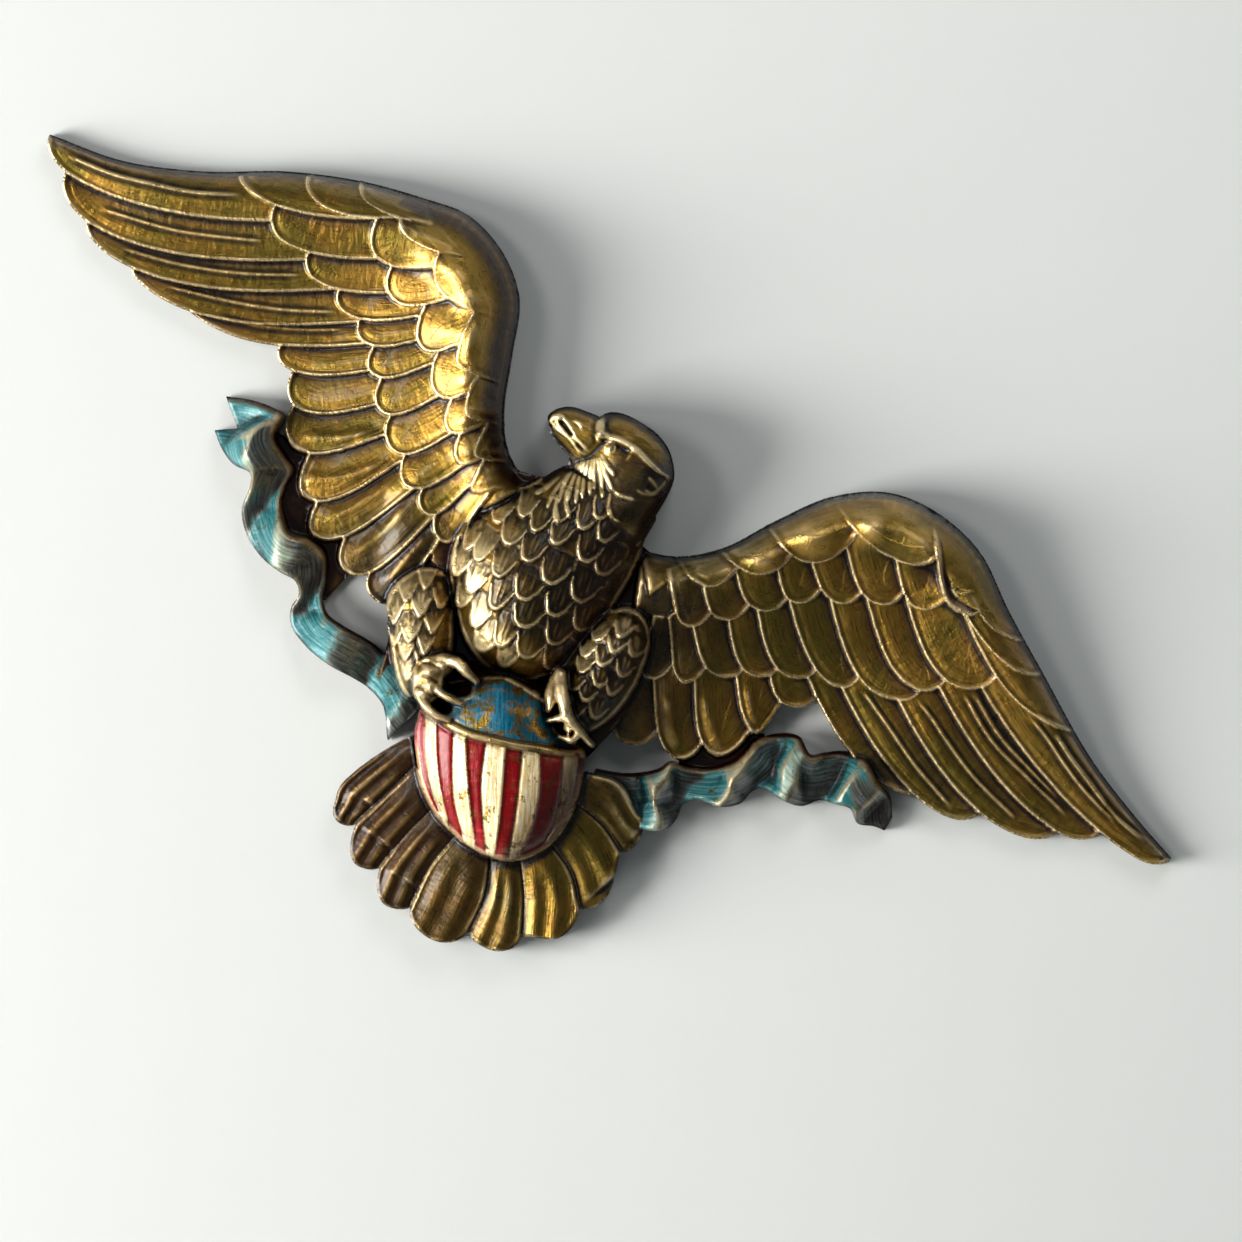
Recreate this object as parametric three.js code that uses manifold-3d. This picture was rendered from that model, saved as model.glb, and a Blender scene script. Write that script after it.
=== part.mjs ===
// Eagle wall plaque: a spread eagle gripping a striped shield over a fan of tail feathers, with a
// waved ribbon to each side. One casting with a flat back.
// Millimetres, +Z up, +X to the right as seen from the front. The front faces -Y and the back lies
// in the plane y = 0, with the origin on it, between the shoulders.
import * as THREE from 'three';
import { mergeVertices } from 'three/addons/utils/BufferGeometryUtils.js';
import Module from 'manifold-3d';

const wasm = await Module();
wasm.setup();

// Driving sizes. Places below are [x, z], or [x, z, height] where a line also carries a height
// above the back.
const PAST_BACK = 5; // how far every raw solid reaches behind the back before the flat cut
const RIM = 0.9; // a feather's edge above the wing surface
const TUCK = 1.9; // how far its covered side dips below that surface
const LAP = 1.5; // how far the covered side reaches under the next feather
const LIP = 0.35; // share of the full height that stands straight up at the outline
const ROUND = 0.5; // radius of the rounding behind the outline, as a share of the height
const GOLD = 0x8a6a2c;

// Short helpers for plane points and lines

const mix = (a, b, t) => a + (b - a) * t;
const mixPoint = (a, b, t) => a.map((value, i) => mix(value, b[i], t));
const minus = (a, b) => [a[0] - b[0], a[1] - b[1]];
const plus = (a, b, k = 1) => [a[0] + k * b[0], a[1] + k * b[1]];
const dot = (a, b) => a[0] * b[0] + a[1] * b[1];
const unit = (a) => [a[0] / Math.hypot(...a), a[1] / Math.hypot(...a)];

// A value that runs evenly through a short list as t goes from 0 to 1.
function along(values, t) {
  const place = Math.min(Math.max(t, 0), 1) * (values.length - 1);
  const i = Math.min(Math.floor(place), values.length - 2);
  return values.length > 1 ? mix(values[i], values[i + 1], place - i) : values[0];
}

// A smooth open line of n + 1 points through a few places, heights included.
function smooth(places, n, closed = false) {
  const points = places.map(([x, z, h = 0]) => new THREE.Vector3(x, z, h));
  const curve = new THREE.CatmullRomCurve3(points, closed, 'centripetal');
  return curve.getSpacedPoints(n).map((p) => [p.x, p.y, p.z]);
}

// Distance from a place to a line, and the height that the line carries there.
function nearest([x, z], line) {
  let best = { distance: Infinity, height: 0, point: line[0] };
  for (let i = 0; i + 1 < line.length; i++) {
    const a = line[i];
    const b = line[i + 1];
    const step = minus(b, a);
    const t = Math.min(Math.max(dot(minus([x, z], a), step) / dot(step, step), 0), 1);
    const point = mixPoint(a, b, t);
    const distance = Math.hypot(x - point[0], z - point[1]);
    if (distance < best.distance) best = { distance, height: point[2], point };
  }
  return best;
}

// Points from one arc length to another on a line.
function stretch(line, from, to, n) {
  const reach = [0];
  for (let i = 1; i < line.length; i++) {
    reach.push(reach[i - 1] + Math.hypot(...minus(line[i], line[i - 1]).slice(0, 2)));
  }
  const end = Math.min(to, reach.at(-1));
  return Array.from({ length: n + 1 }, (_, k) => {
    const s = Math.min(Math.max(mix(from, end, k / n), 0), reach.at(-1));
    const i = Math.max(reach.findIndex((r) => r >= s), 1);
    return mixPoint(line[i - 1], line[i], (s - reach[i - 1]) / (reach[i] - reach[i - 1]));
  });
}

const lengthOf = (line) =>
  line.slice(1).reduce((sum, p, i) => sum + Math.hypot(p[0] - line[i][0], p[1] - line[i][1]), 0);

// Closed solids, and their union

function solidOf(vertices, faces) {
  const geometry = new THREE.BufferGeometry();
  geometry.setAttribute('position', new THREE.Float32BufferAttribute(vertices.flat(), 3));
  geometry.setIndex(faces.flat());
  const merged = mergeVertices(geometry, 1e-4);
  // where two corners of a face meet in a point, that face is gone
  const kept = [];
  for (let i = 0; i < merged.index.count; i += 3) {
    const [a, b, c] = merged.index.array.slice(i, i + 3);
    if (a !== b && b !== c && c !== a) kept.push(a, b, c);
  }
  return new wasm.Manifold(
    new wasm.Mesh({
      numProp: 3,
      vertProperties: merged.attributes.position.array,
      triVerts: new Uint32Array(kept),
    }),
  );
}

const raw = [];
// A solid counts once its faces point outwards, whichever way its plan was drawn.
function keep(vertices, faces) {
  const made = solidOf(vertices, faces);
  if (made.volume() > 0) raw.push(made);
  else raw.push(solidOf(vertices, faces.map(([a, b, c]) => [a, c, b])));
}

// A sheet of rows of [x, z, height], closed by walls that go down behind the back.
function slab(rows) {
  const wide = rows[0].length;
  const vertices = [];
  const faces = [];
  const quad = (a, b, c, d) => faces.push([a, b, c], [a, c, d]);
  for (const front of [true, false]) {
    for (const row of rows) {
      for (const [x, z, h] of row) vertices.push([x, front ? -h : PAST_BACK, z]);
    }
  }
  const under = rows.length * wide;
  for (let i = 0; i + 1 < rows.length; i++) {
    for (let j = 0; j + 1 < wide; j++) {
      const a = i * wide + j;
      quad(a, a + 1, a + wide + 1, a + wide);
      quad(under + a, under + a + wide, under + a + wide + 1, under + a + 1);
    }
  }
  const rim = [];
  for (let j = 0; j + 1 < wide; j++) rim.push(j);
  for (let i = 0; i + 1 < rows.length; i++) rim.push(i * wide + wide - 1);
  for (let j = wide - 1; j > 0; j--) rim.push((rows.length - 1) * wide + j);
  for (let i = rows.length - 1; i > 0; i--) rim.push(i * wide);
  rim.forEach((a, k) => {
    const b = rim[(k + 1) % rim.length];
    quad(b, a, under + a, under + b);
  });
  keep(vertices, faces);
}

// A dome over a closed outline: rings of points move in towards a spine and rise to its height.
const FINE_RINGS = [0, 0.18, 0.55];
const PLAIN_RINGS = [0, 0.3];
function dome(outline, spine, lip, rings) {
  const count = outline.length;
  const level = rings.map((share) =>
    outline.map((p) => {
      const top = nearest(p, spine);
      const rise = Math.sqrt(1 - (1 - share) ** 2);
      const place = mixPoint(p.slice(0, 2), top.point.slice(0, 2), share);
      return [...place, lip + (top.height - lip) * rise];
    }),
  );
  const vertices = outline.map(([x, z]) => [x, PAST_BACK, z]);
  for (const ring of level) vertices.push(...ring.map(([x, z, h]) => [x, -h, z]));
  const faces = [];
  for (let k = 0; k < level.length; k++) {
    for (let i = 0; i < count; i++) {
      const a = k * count + i;
      const b = k * count + ((i + 1) % count);
      faces.push([a, b, b + count], [a, b + count, a + count]);
    }
  }
  const cap = (points) =>
    THREE.ShapeUtils.triangulateShape(points.map(([x, z]) => new THREE.Vector2(x, z)), []);
  const area = THREE.ShapeUtils.area(outline.map(([x, z]) => new THREE.Vector2(x, z)));
  const turn = area > 0 ? 1 : -1;
  const facing = ([a, b, c], shift, way) =>
    way > 0 ? [a + shift, b + shift, c + shift] : [a + shift, c + shift, b + shift];
  for (const face of cap(outline)) faces.push(facing(face, 0, -turn));
  for (const face of cap(level.at(-1))) faces.push(facing(face, level.length * count, turn));
  keep(vertices, faces);
}

// A plate of even height over a closed outline.
function plate(outline, height) {
  dome(outline, [[...outline[0].slice(0, 2), height], [...outline[1].slice(0, 2), height]], height, [0]);
}

// Wings

const leftWing = {
  side: -1,
  // outline of the leading side, from the tip over the wrist to the throat
  lead: smooth(
    [
      [-349, 31], [-310, 38.5], [-270, 56], [-235, 77], [-198, 93], [-165, 102], [-143, 106],
      [-118, 99], [-98, 83], [-87, 58], [-76, 31], [-64, 14], [-50, 6], [-38, 12],
    ],
    60,
  ),
  // crest of the arm, with its heights
  crest: smooth(
    [
      [-342, 29, 9], [-285, 36, 17], [-235, 56, 25], [-195, 73, 31], [-160, 84, 37], [-133, 80, 41],
      [-114, 62, 42], [-99, 36, 41], [-80, 10, 40], [-52, -10, 41],
    ],
    40,
  ),
  // free ends of the flight feathers, with their heights
  hem: smooth(
    [
      [-347, 28, 8], [-325, 17, 8], [-285, -7, 9], [-230, -11, 10], [-184, -10, 11], [-166, -25, 12],
      [-153, -44, 12], [-128, -76, 12], [-103, -84, 13], [-79, -88, 14], [-60, -60, 22],
    ],
    40,
  ),
  // line at which the smooth arm meets the small coverts
  armRoots: [
    [-176, 92], [-160, 86], [-140, 80], [-125, 70], [-112, 62], [-110, 50], [-104, 42], [-94, 38],
    [-92, 25], [-84, 20], [-76, 10], [-66, 4], [-64, -8], [-58, -20],
  ],
  // rows of feathers, from the leading edge down: the low point of each free end, and how far
  // along its neighbour's edge the end comes out
  rows: [
    {
      first: [-349, 31],
      leadTo: -240,
      lean: [18, 21, 21.5, 23, 24, 29, 33, 39, 51, 55, 63, 74],
      reach: [102, 108, 102, 98, 84, 48, 42, 46, 54, 56, 56, 42],
      ends: [
        [-326, 18, 0], [-306, 2, -6], [-287, -7, -3], [-257, -12, 10], [-228, -11, 17],
        [-183, -9.5, 38], [-167, -24.5, 4], [-157, -43, -3], [-140, -62, 7], [-126, -77, 6],
        [-102, -84, 16], [-80, -88.5, 12],
      ],
    },
    {
      first: [-254, 63],
      leadTo: -205,
      lean: [20, 20, 22, 29, 34, 41, 46, 48, 51, 62, 72],
      reach: [64, 50, 42, 40, 30, 32, 31, 32, 32, 27, 24],
      ends: [
        [-240, 58, 0], [-217, 45, 10], [-192, 36.5, 14], [-170, 30, 12], [-154, 22, 7],
        [-142, 10, 4], [-128, -4, 4], [-112, -18, 4], [-97, -30, 5], [-82, -37, 7], [-67, -45, 5],
      ],
    },
    {
      first: [-224, 81],
      leadTo: -180,
      lean: [19, 24, 34, 38, 40, 42, 46],
      reach: [30, 29, 28, 18, 16, 14, 14],
      ends: [
        [-208, 71, 0], [-168, 62, 28], [-151, 48, 5], [-126, 34.5, 15], [-106, 18, 7],
        [-92, 5, 5], [-80, -6, 4],
      ],
    },
    {
      first: [-199, 93],
      leadTo: -165,
      lean: [8, 8, 6, 4, 12, 15, 30],
      reach: [20, 16, 16, 14, 12, 10, 10],
      ends: [
        [-188, 84, 0], [-160, 79, 17], [-128, 63, 15], [-106, 36.5, 14], [-89, 17, 10],
        [-75, 1.5, 10], [-68, -15, 4],
      ],
    },
  ],
};

const rightWing = {
  side: 1,
  lead: smooth(
    [
      [338, 9], [310, 18], [275, 32], [231, 57], [200, 75], [172, 93], [143, 99], [116, 95],
      [92, 78], [74, 53], [58, 27], [40, 11], [22, 4],
    ],
    60,
  ),
  crest: smooth(
    [
      [331, 8, 9], [280, 24, 17], [235, 46, 25], [200, 60, 31], [165, 77, 37], [138, 82, 41],
      [112, 76, 42], [90, 58, 41], [70, 32, 40], [40, -2, 38],
    ],
    40,
  ),
  hem: smooth(
    [
      [336, 4, 8], [295, -6, 8], [262, -23, 9], [222, -33, 10], [192, -35, 10], [137, -16, 12],
      [126, -46, 12], [108, -68, 12], [92, -79, 13], [63, -85, 14], [52, -62, 20],
    ],
    40,
  ),
  armRoots: [
    [196, 75], [186, 72], [176, 70], [165, 74], [152, 81], [138, 76], [125, 74], [112, 74],
    [104, 66], [96, 56], [88, 52], [80, 42], [76, 34], [66, 27], [60, 20], [52, 10], [44, 0],
    [38, -14],
  ],
  rows: [
    {
      first: [338, 9],
      leadTo: 245,
      lean: [17, 19, 20, 21, 23, 38, 40, 45, 44, 68],
      reach: [124, 92, 82, 79, 68, 22, 34, 40, 44, 32],
      ends: [
        [322, -0.5, 0], [280, -10, 23], [253, -23, 0], [222, -33, 12], [192, -35, 16],
        [125, -26, 58], [122, -47, 0], [108, -67.5, 3], [92, -79, 7], [64, -85.5, 16],
      ],
    },
    {
      first: [260, 39],
      leadTo: 218,
      lean: [23, 31, 32, 32.5, 32, 36, 38, 36, 42, 60],
      reach: [64, 48, 50, 52, 50, 36, 30, 26, 20, 18],
      ends: [
        [240, 35, 0], [193, 27, 29], [177, 15, 2], [163, 3, -6], [142, -5, 11], [118, -13, 11],
        [102, -22, 4], [86, -31.5, 3], [75, -43.5, 4], [58, -51, 10],
      ],
    },
    {
      first: [231, 56],
      leadTo: 205,
      lean: [26],
      reach: [36],
      ends: [[217, 50, 0]],
    },
    {
      first: [169, 63],
      lean: [34, 33, 30, 36, 34, 36, 36],
      reach: [20, 26, 20, 17, 20, 18, 16],
      ends: [
        [157, 51, 0], [136, 42, 8], [119, 32, 5], [101, 21, 7], [86, 8, 1], [73, -6, 1],
        [61, -18, 3],
      ],
    },
    {
      first: [215, 66],
      leadTo: 190,
      lean: [17],
      reach: [20],
      ends: [[200, 62, 0]],
    },
    {
      first: [187, 66],
      lean: [40, 12, 14, 6, 14],
      reach: [31, 26, 18, 14, 12],
      ends: [[176, 60, 0], [129, 66, 29], [93, 41, 16], [73, 22, 3], [56, 4, 3]],
    },
  ],
};

// Height of the wing surface: from the free ends up to the arm, rounded down at the outline.
function wingHeight(wing, place) {
  const crest = nearest(place, wing.crest);
  const hem = nearest(place, wing.hem);
  const share = crest.distance / (crest.distance + hem.distance);
  const full = mix(crest.height, hem.height, share ** 0.8);
  const inset = Math.min(nearest(place, wing.lead).distance / (ROUND * crest.height), 1);
  return full * mix(LIP, 1, Math.sqrt(1 - (1 - inset) ** 2));
}

// The visible edge of each feather in a row: round its free end, then back along its lower side.
// At its low point an edge runs level, and it steepens towards the root. Long feathers take more
// steps than short ones.
const CAP_STEPS = 3;
const SIDE_STEPS = 2;
const LONG_SIDE_STEPS = 4;
const LONG_REACH = 60;
const SHORT_CAP_STEPS = 2;
const SHORT_REACH = 45;
const ROOT_TURN = 12; // degrees by which the edge is steeper at the root than on the whole
function rowEdges(wing, row) {
  const edges = [];
  row.ends.forEach(([x, z, lap], i) => {
    const low = [x, z];
    const t = row.ends.length > 1 ? i / (row.ends.length - 1) : 0;
    const reach = along(row.reach, t);
    const back = (degrees) => {
      const lean = THREE.MathUtils.degToRad(degrees);
      return [-wing.side * Math.cos(lean), Math.sin(lean)];
    };
    const root = plus(low, back(along(row.lean, t)), reach);
    const side = new THREE.CubicBezierCurve(
      new THREE.Vector2(...low),
      new THREE.Vector2(...plus(low, back(0), 0.3 * reach)),
      new THREE.Vector2(...plus(root, back(along(row.lean, t) + ROOT_TURN), -0.35 * reach)),
      new THREE.Vector2(...root),
    );
    const before = edges[i - 1];
    const start = before ? stretch(before.line, before.turn + lap, before.turn + lap, 1)[0] : row.first;
    const capSteps = reach < SHORT_REACH ? SHORT_CAP_STEPS : CAP_STEPS;
    const line = [];
    for (let k = 0; k < capSteps; k++) {
      const angle = (k / capSteps) * (Math.PI / 2);
      line.push([mix(x, start[0], Math.cos(angle)), mix(start[1], z, Math.sin(angle))]);
    }
    const sideSteps = reach > LONG_REACH ? LONG_SIDE_STEPS : SIDE_STEPS;
    line.push(...side.getPoints(sideSteps).map((p) => [p.x, p.y]));
    edges.push({ line, turn: lengthOf(line.slice(0, capSteps + 1)), lap, start, low });
  });
  return edges;
}

// The covered side of a feather: just under its neighbour, or the wing's own outline.
function coveredSide(wing, row, edges, i, n) {
  const own = edges[i];
  if (i > 0) {
    const before = edges[i - 1];
    const whole = lengthOf(before.line);
    const line = stretch(before.line, Math.min(before.turn + own.lap, whole - LAP), whole, n);
    return line.map((p, k) => {
      const next = line[Math.min(k + 1, n)];
      const last = line[Math.max(k - 1, 0)];
      const run = unit(minus(next, last));
      const inward = [wing.side * run[1], -wing.side * run[0]];
      return plus(p, inward, LAP);
    });
  }
  if (row.leadTo !== undefined) {
    const inReach = ([x]) => (x - row.first[0]) * wing.side < 0 && (x - row.leadTo) * wing.side > 0;
    const line = [row.first, ...wing.lead.filter(inReach)];
    return stretch(line.map((p) => p.slice(0, 2)), 0, Infinity, n);
  }
  const side = stretch(own.line, own.turn, Infinity, n);
  return side.map(([x, z], k) => (k ? [x, z + own.start[1] - own.low[1]] : own.start));
}

function buildFeathers(wing) {
  for (const row of wing.rows) {
    const edges = rowEdges(wing, row);
    edges.forEach(({ line }, i) => {
      const covered = coveredSide(wing, row, edges, i, line.length - 1);
      const fall = i === 0 && row.leadTo !== undefined ? 0 : TUCK;
      slab(
        line.map((edge, k) => [
          [...edge, wingHeight(wing, edge) + RIM],
          [...covered[k], wingHeight(wing, covered[k]) - fall],
        ]),
      );
    });
  }
}

// The smooth arm, between the leading outline and the roots of the small coverts.
const ARM_STEPS = 15;
const ARM_SHARES = [0, 0.08, 0.28, 0.6, 1];
const ARM_TUCK = 1;
function buildArm(wing) {
  const from = wing.armRoots[0][0];
  const outer = stretch(wing.lead.filter(([x]) => (x - from) * wing.side <= 0), 0, Infinity, ARM_STEPS);
  const inner = smooth(wing.armRoots, ARM_STEPS);
  slab(
    outer.map((edge, k) =>
      ARM_SHARES.map((share) => {
        const place = mixPoint(edge.slice(0, 2), inner[k].slice(0, 2), share);
        return [...place, wingHeight(wing, place) - (share === 1 ? ARM_TUCK : 0)];
      }),
    ),
  );
}

// Ground a little below the feathers, so that no gap opens between the roots of two rows.
const GROUND_STEPS = 9;
const GROUND_SHARES = [0.08, 0.4, 0.82];
const GROUND_DEPTH = 2.6;
function buildGround(wing) {
  const outer = stretch(wing.lead, 0, Infinity, GROUND_STEPS);
  const inner = stretch(wing.hem, 0, Infinity, GROUND_STEPS);
  slab(
    outer.slice(1).map((edge, k) =>
      GROUND_SHARES.map((share) => {
        const place = mixPoint(edge.slice(0, 2), inner[k + 1].slice(0, 2), share);
        return [...place, wingHeight(wing, place) - GROUND_DEPTH];
      }),
    ),
  );
}

for (const wing of [leftWing, rightWing]) {
  buildGround(wing);
  buildFeathers(wing);
  buildArm(wing);
}

// Domed forms: a closed outline, a spine with its heights, and the height of the lip

const closed = (places, n) => smooth(places, n, true).slice(0, n);

const body = {
  outline: closed(
    [
      [-30, 24], [-44, 2], [-54, -10], [-60, -25], [-61, -40], [-56, -55], [-45, -68], [-33, -80],
      [-18, -87], [-2, -86], [10, -80], [18, -68], [23, -50], [24, -10], [21, 10], [19, 25],
    ],
    20,
  ),
  spine: [[-5, 30, 48], [-12, -5, 56], [-18, -40, 60], [-12, -65, 54]],
  lip: 22,
};

const rightThigh = {
  outline: closed(
    [
      [20, -45], [24, -33], [32, -25], [42, -26], [50, -35], [54, -50], [55, -65], [52, -80],
      [45, -92], [34, -95], [26, -85], [20, -70],
    ],
    14,
  ),
  spine: [[36, -45, 52], [34, -75, 46]],
  lip: 22,
};

const leftThigh = {
  outline: closed(
    [
      [-74, -70], [-66, -60], [-56, -59], [-48, -66], [-42, -77], [-35, -90], [-31, -105],
      [-33, -117], [-42, -121], [-52, -115], [-62, -104], [-70, -94], [-76, -83],
    ],
    16,
  ),
  spine: [[-62, -78, 44], [-42, -108, 46]],
  lip: 20,
};

const head = {
  outline: closed(
    [
      [-31, 45], [-31, 52], [-27, 57], [-20, 59.5], [-10, 60], [0, 59], [8, 55.5], [14, 50],
      [18, 44], [19.5, 35], [19.5, 20], [19, 5], [5, 0], [-10, 5], [-25, 15], [-34, 26], [-31, 33],
    ],
    23,
  ),
  spine: [[-12, 44, 50], [5, 30, 52], [2, 12, 52]],
  lip: 26,
};

const upperBeak = {
  outline: closed(
    [
      [-24, 50], [-31, 51.5], [-38, 50.5], [-45, 49], [-50, 46], [-53, 42], [-54, 38], [-52, 35.5],
      [-50, 38.5], [-46, 41], [-38, 37], [-32, 35], [-25, 37],
    ],
    18,
  ),
  spine: [[-26, 44, 48], [-38, 44, 47], [-50, 42.5, 43]],
  lip: 34,
};

const lowerBeak = {
  outline: closed(
    [
      [-50, 35.5], [-45, 35], [-38, 34], [-33, 32], [-26, 32], [-26, 26], [-36, 27], [-43, 29],
      [-48, 31],
    ],
    10,
  ),
  spine: [[-30, 29.5, 42], [-46, 33, 39]],
  lip: 30,
};

const shield = {
  outline: closed(
    [
      [-33, -120], [-29, -107], [-22, -98], [-14, -95], [-3, -87.5], [8, -87], [19, -87], [28, -95],
      [36, -99], [50, -99.5], [57, -115], [61, -132], [60, -147], [55, -158], [47, -166], [38, -169.5],
      [25, -171], [12, -169], [0, -165], [-12, -157], [-22, -146], [-30, -134],
    ],
    26,
  ),
  spine: [[5, -105, 58], [24, -138, 53], [42, -166, 46]],
  lip: 30,
};

const leftGrip = {
  outline: closed(
    [
      [-44, -106], [-38, -98], [-31, -102], [-29, -110], [-22, -112], [-17, -115], [-18, -120],
      [-27, -122], [-37, -119],
    ],
    12,
  ),
  spine: [[-36, -106, 55], [-30, -116, 56], [-21, -117, 58]],
  lip: 40,
};

for (const form of [body, head, shield]) dome(form.outline, form.spine, form.lip, FINE_RINGS);
for (const form of [rightThigh, leftThigh, upperBeak, lowerBeak, leftGrip]) {
  dome(form.outline, form.spine, form.lip, PLAIN_RINGS);
}

// Height of a domed form at any place inside its outline.
function domeHeight(form, place) {
  const edge = nearest(place, [...form.outline, form.outline[0]]);
  const top = nearest(place, form.spine);
  const share = edge.distance / (edge.distance + top.distance);
  return form.lip + (top.height - form.lip) * Math.sqrt(1 - (1 - share) ** 2);
}

// Breast and thigh scales: each a fan from its free end, which hangs down, up to its root

const SCALE_STEPS = 4;
const SCALE_RISE = 1.4;
function scale(form, [x, z], width, length, lean) {
  const turn = THREE.MathUtils.degToRad(lean);
  const at = (across, up) => [
    x + across * Math.cos(turn) - up * Math.sin(turn),
    z + across * Math.sin(turn) + up * Math.cos(turn),
  ];
  const root = at(0, length);
  const rows = [];
  for (let k = 0; k <= SCALE_STEPS; k++) {
    const angle = mix(-Math.PI / 2, Math.PI / 2, k / SCALE_STEPS);
    const place = at((width / 2) * Math.sin(angle), length * 0.55 * (1 - Math.cos(angle)));
    rows.push([
      [...place, domeHeight(form, place) + SCALE_RISE],
      [...root, domeHeight(form, root) - TUCK],
    ]);
  }
  slab(rows);
}

const breast = [
  { z: 8, at: [-7, 4] },
  { z: -3.5, at: [-22, -9.5, 3.5] },
  { z: -16.5, at: [-46, -29.5, -14, 1.5, 13] },
  { z: -31.5, at: [-38, -24.5, -9, 7] },
  { z: -46, at: [-31, -16.5, 0, 15] },
  { z: -60, at: [-41, -25, -10, 8] },
  { z: -73.5, at: [-31, -18, -3] },
];
for (const { z, at } of breast) {
  for (const x of at) scale(body, [x, z], 16.5, 16, -14);
}

const rightThighRows = [
  { z: -37.5, at: [36] },
  { z: -45, at: [27, 45] },
  { z: -55.5, at: [34, 46] },
  { z: -66, at: [28, 39] },
  { z: -76, at: [35] },
];
for (const { z, at } of rightThighRows) {
  for (const x of at) scale(rightThigh, [x, z], 12, 13, -8);
}

const leftThighRows = [
  { z: -71, at: [-58] },
  { z: -84, at: [-62, -50] },
  { z: -99, at: [-59, -46] },
];
for (const { z, at } of leftThighRows) {
  for (const x of at) scale(leftThigh, [x, z], 14, 17, 24);
}

// Rounded bars that taper to their ends: toes, claws and the brow

const BAR_SHARES = [-1, -0.6, 0.6, 1];
function bar(places, halfWidth, drop, n, taper) {
  const line = smooth(places, n);
  const rows = line.map((p, k) => {
    const run = unit(minus(line[Math.min(k + 1, n)], line[Math.max(k - 1, 0)]));
    const half = halfWidth * mix(1, taper, Math.max(0, (2 * k) / n - 1));
    return BAR_SHARES.map((share) => {
      const [x, z] = plus(p, [run[1], -run[0]], half * share);
      return [x, z, p[2] - drop * (1 - Math.sqrt(1 - share ** 2))];
    });
  });
  slab(rows);
}

const toes = [
  [[20, -70, 50], [27, -79, 56], [34, -87, 58], [44, -91, 56], [53, -94, 50]],
  [[24, -82, 50], [26, -90, 55], [27, -97, 52]],
  [[36, -88, 54], [39, -94, 56], [40, -100, 52]],
  [[-40, -98, 50], [-32, -97, 56], [-24, -96, 60], [-16, -97, 58]],
];
for (const toe of toes) bar(toe, 3.6, 5, 3, 0.35);
bar([[-29, 49, 48], [-20, 46, 53], [-5, 46, 55], [8, 43, 53], [15, 42, 46]], 2, 2, 6, 0.5);

// Shield front: a gold band under the plain chief, then pleats between each pair of lines

const chiefBand = [
  [-35, -121], [-20, -123], [-5, -122], [5, -119], [18, -115], [30, -110], [42, -105], [50, -101],
];
bar(chiefBand.map(([x, z]) => [x, z, domeHeight(shield, [x, z]) + 1.6]), 2.2, 2.4, 9, 1);

const pleats = [
  [[-21, -127], [-13, -140], [-3, -153], [7, -163.5]],
  [[-11.5, -126], [-3, -141], [7, -156], [18, -167]],
  [[-5, -124.5], [4, -138], [14, -152], [24, -165]],
  [[5, -121], [13, -139], [22, -153], [32, -166]],
  [[15, -118], [25, -138], [33, -155], [38, -166.5]],
  [[23, -115], [33, -136], [41, -155], [45, -165]],
  [[31, -111], [41, -128], [47, -145], [49, -160]],
  [[42, -106], [51, -124], [55, -139], [56, -149]],
];
const PLEAT_STEPS = 4;
const PLEAT_RISE = 1.5;
for (let i = 0; i < pleats.length; i += 2) {
  const [from, to] = [smooth(pleats[i], PLEAT_STEPS), smooth(pleats[i + 1], PLEAT_STEPS)];
  slab(
    from.map(([x, z], k) => [
      [x, z, domeHeight(shield, [x, z]) - 0.4],
      [to[k][0], to[k][1], domeHeight(shield, to[k]) + PLEAT_RISE],
    ]),
  );
}

// Tail fan: each feather runs between two lines and ends in a round tip

const tailLines = [
  [[-30, -138], [-38, -152], [-45, -168], [-48, -180], [-46, -188]],
  [[-20, -150], [-25, -170], [-31, -191]],
  [[0, -160], [-6, -183], [-9, -204]],
  [[17, -165], [13, -190], [15, -213]],
  [[35, -166], [45, -190], [47, -209]],
  [[48, -160], [62, -179], [72, -198]],
  [[55, -147], [76, -156], [90, -170]],
  [[57, -124], [78, -127], [93, -134]],
  [[56, -108], [75, -104], [91, -113]],
];
const tailTips = [
  [-38, -196], [-19, -210], [5, -220], [31, -223],
  [61, -212], [84, -192], [98, -150], [98, -123],
];
const TAIL_STEPS = 4;
const TAIL_ROOT = 24;
const TAIL_TIP = 14;
const TAIL_RIDGE = 3;

// A quarter of an ellipse from a notch to the tip, setting off along the feather.
function tipCurve(notch, tip, heading) {
  const way = minus(tip, notch);
  const ahead = dot(way, heading);
  const aside = minus(way, [ahead * heading[0], ahead * heading[1]]);
  return Array.from({ length: CAP_STEPS }, (_, k) => {
    const angle = ((k + 1) / CAP_STEPS) * (Math.PI / 2);
    return plus(plus(notch, heading, ahead * Math.sin(angle)), aside, 1 - Math.cos(angle));
  });
}

tailTips.forEach((tip, i) => {
  const sides = [tailLines[i], tailLines[i + 1]].map((line) =>
    smooth(line, TAIL_STEPS).map((p) => p.slice(0, 2))
  );
  const middle = mixPoint(sides[0].at(-1), sides[1].at(-1), 0.5);
  const heading = unit(minus(tip, middle));
  for (const side of sides) side.push(...tipCurve(side.at(-1), tip, heading));
  const last = sides[0].length - 1;
  slab(
    sides[0].map((p, k) => {
      const height = mix(TAIL_ROOT, TAIL_TIP, k / last) + (i % 2);
      const ridge = TAIL_RIDGE * (1 - (k / last) ** 3);
      const q = sides[1][k];
      return [[...p, height], [...mixPoint(p, q, 0.5), height + ridge], [...q, height - (k < last ? 1 : 0)]];
    }),
  );
});

// Waved ribbons: upper edge, lower edge and the height of each fold from the free end inwards

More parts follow.
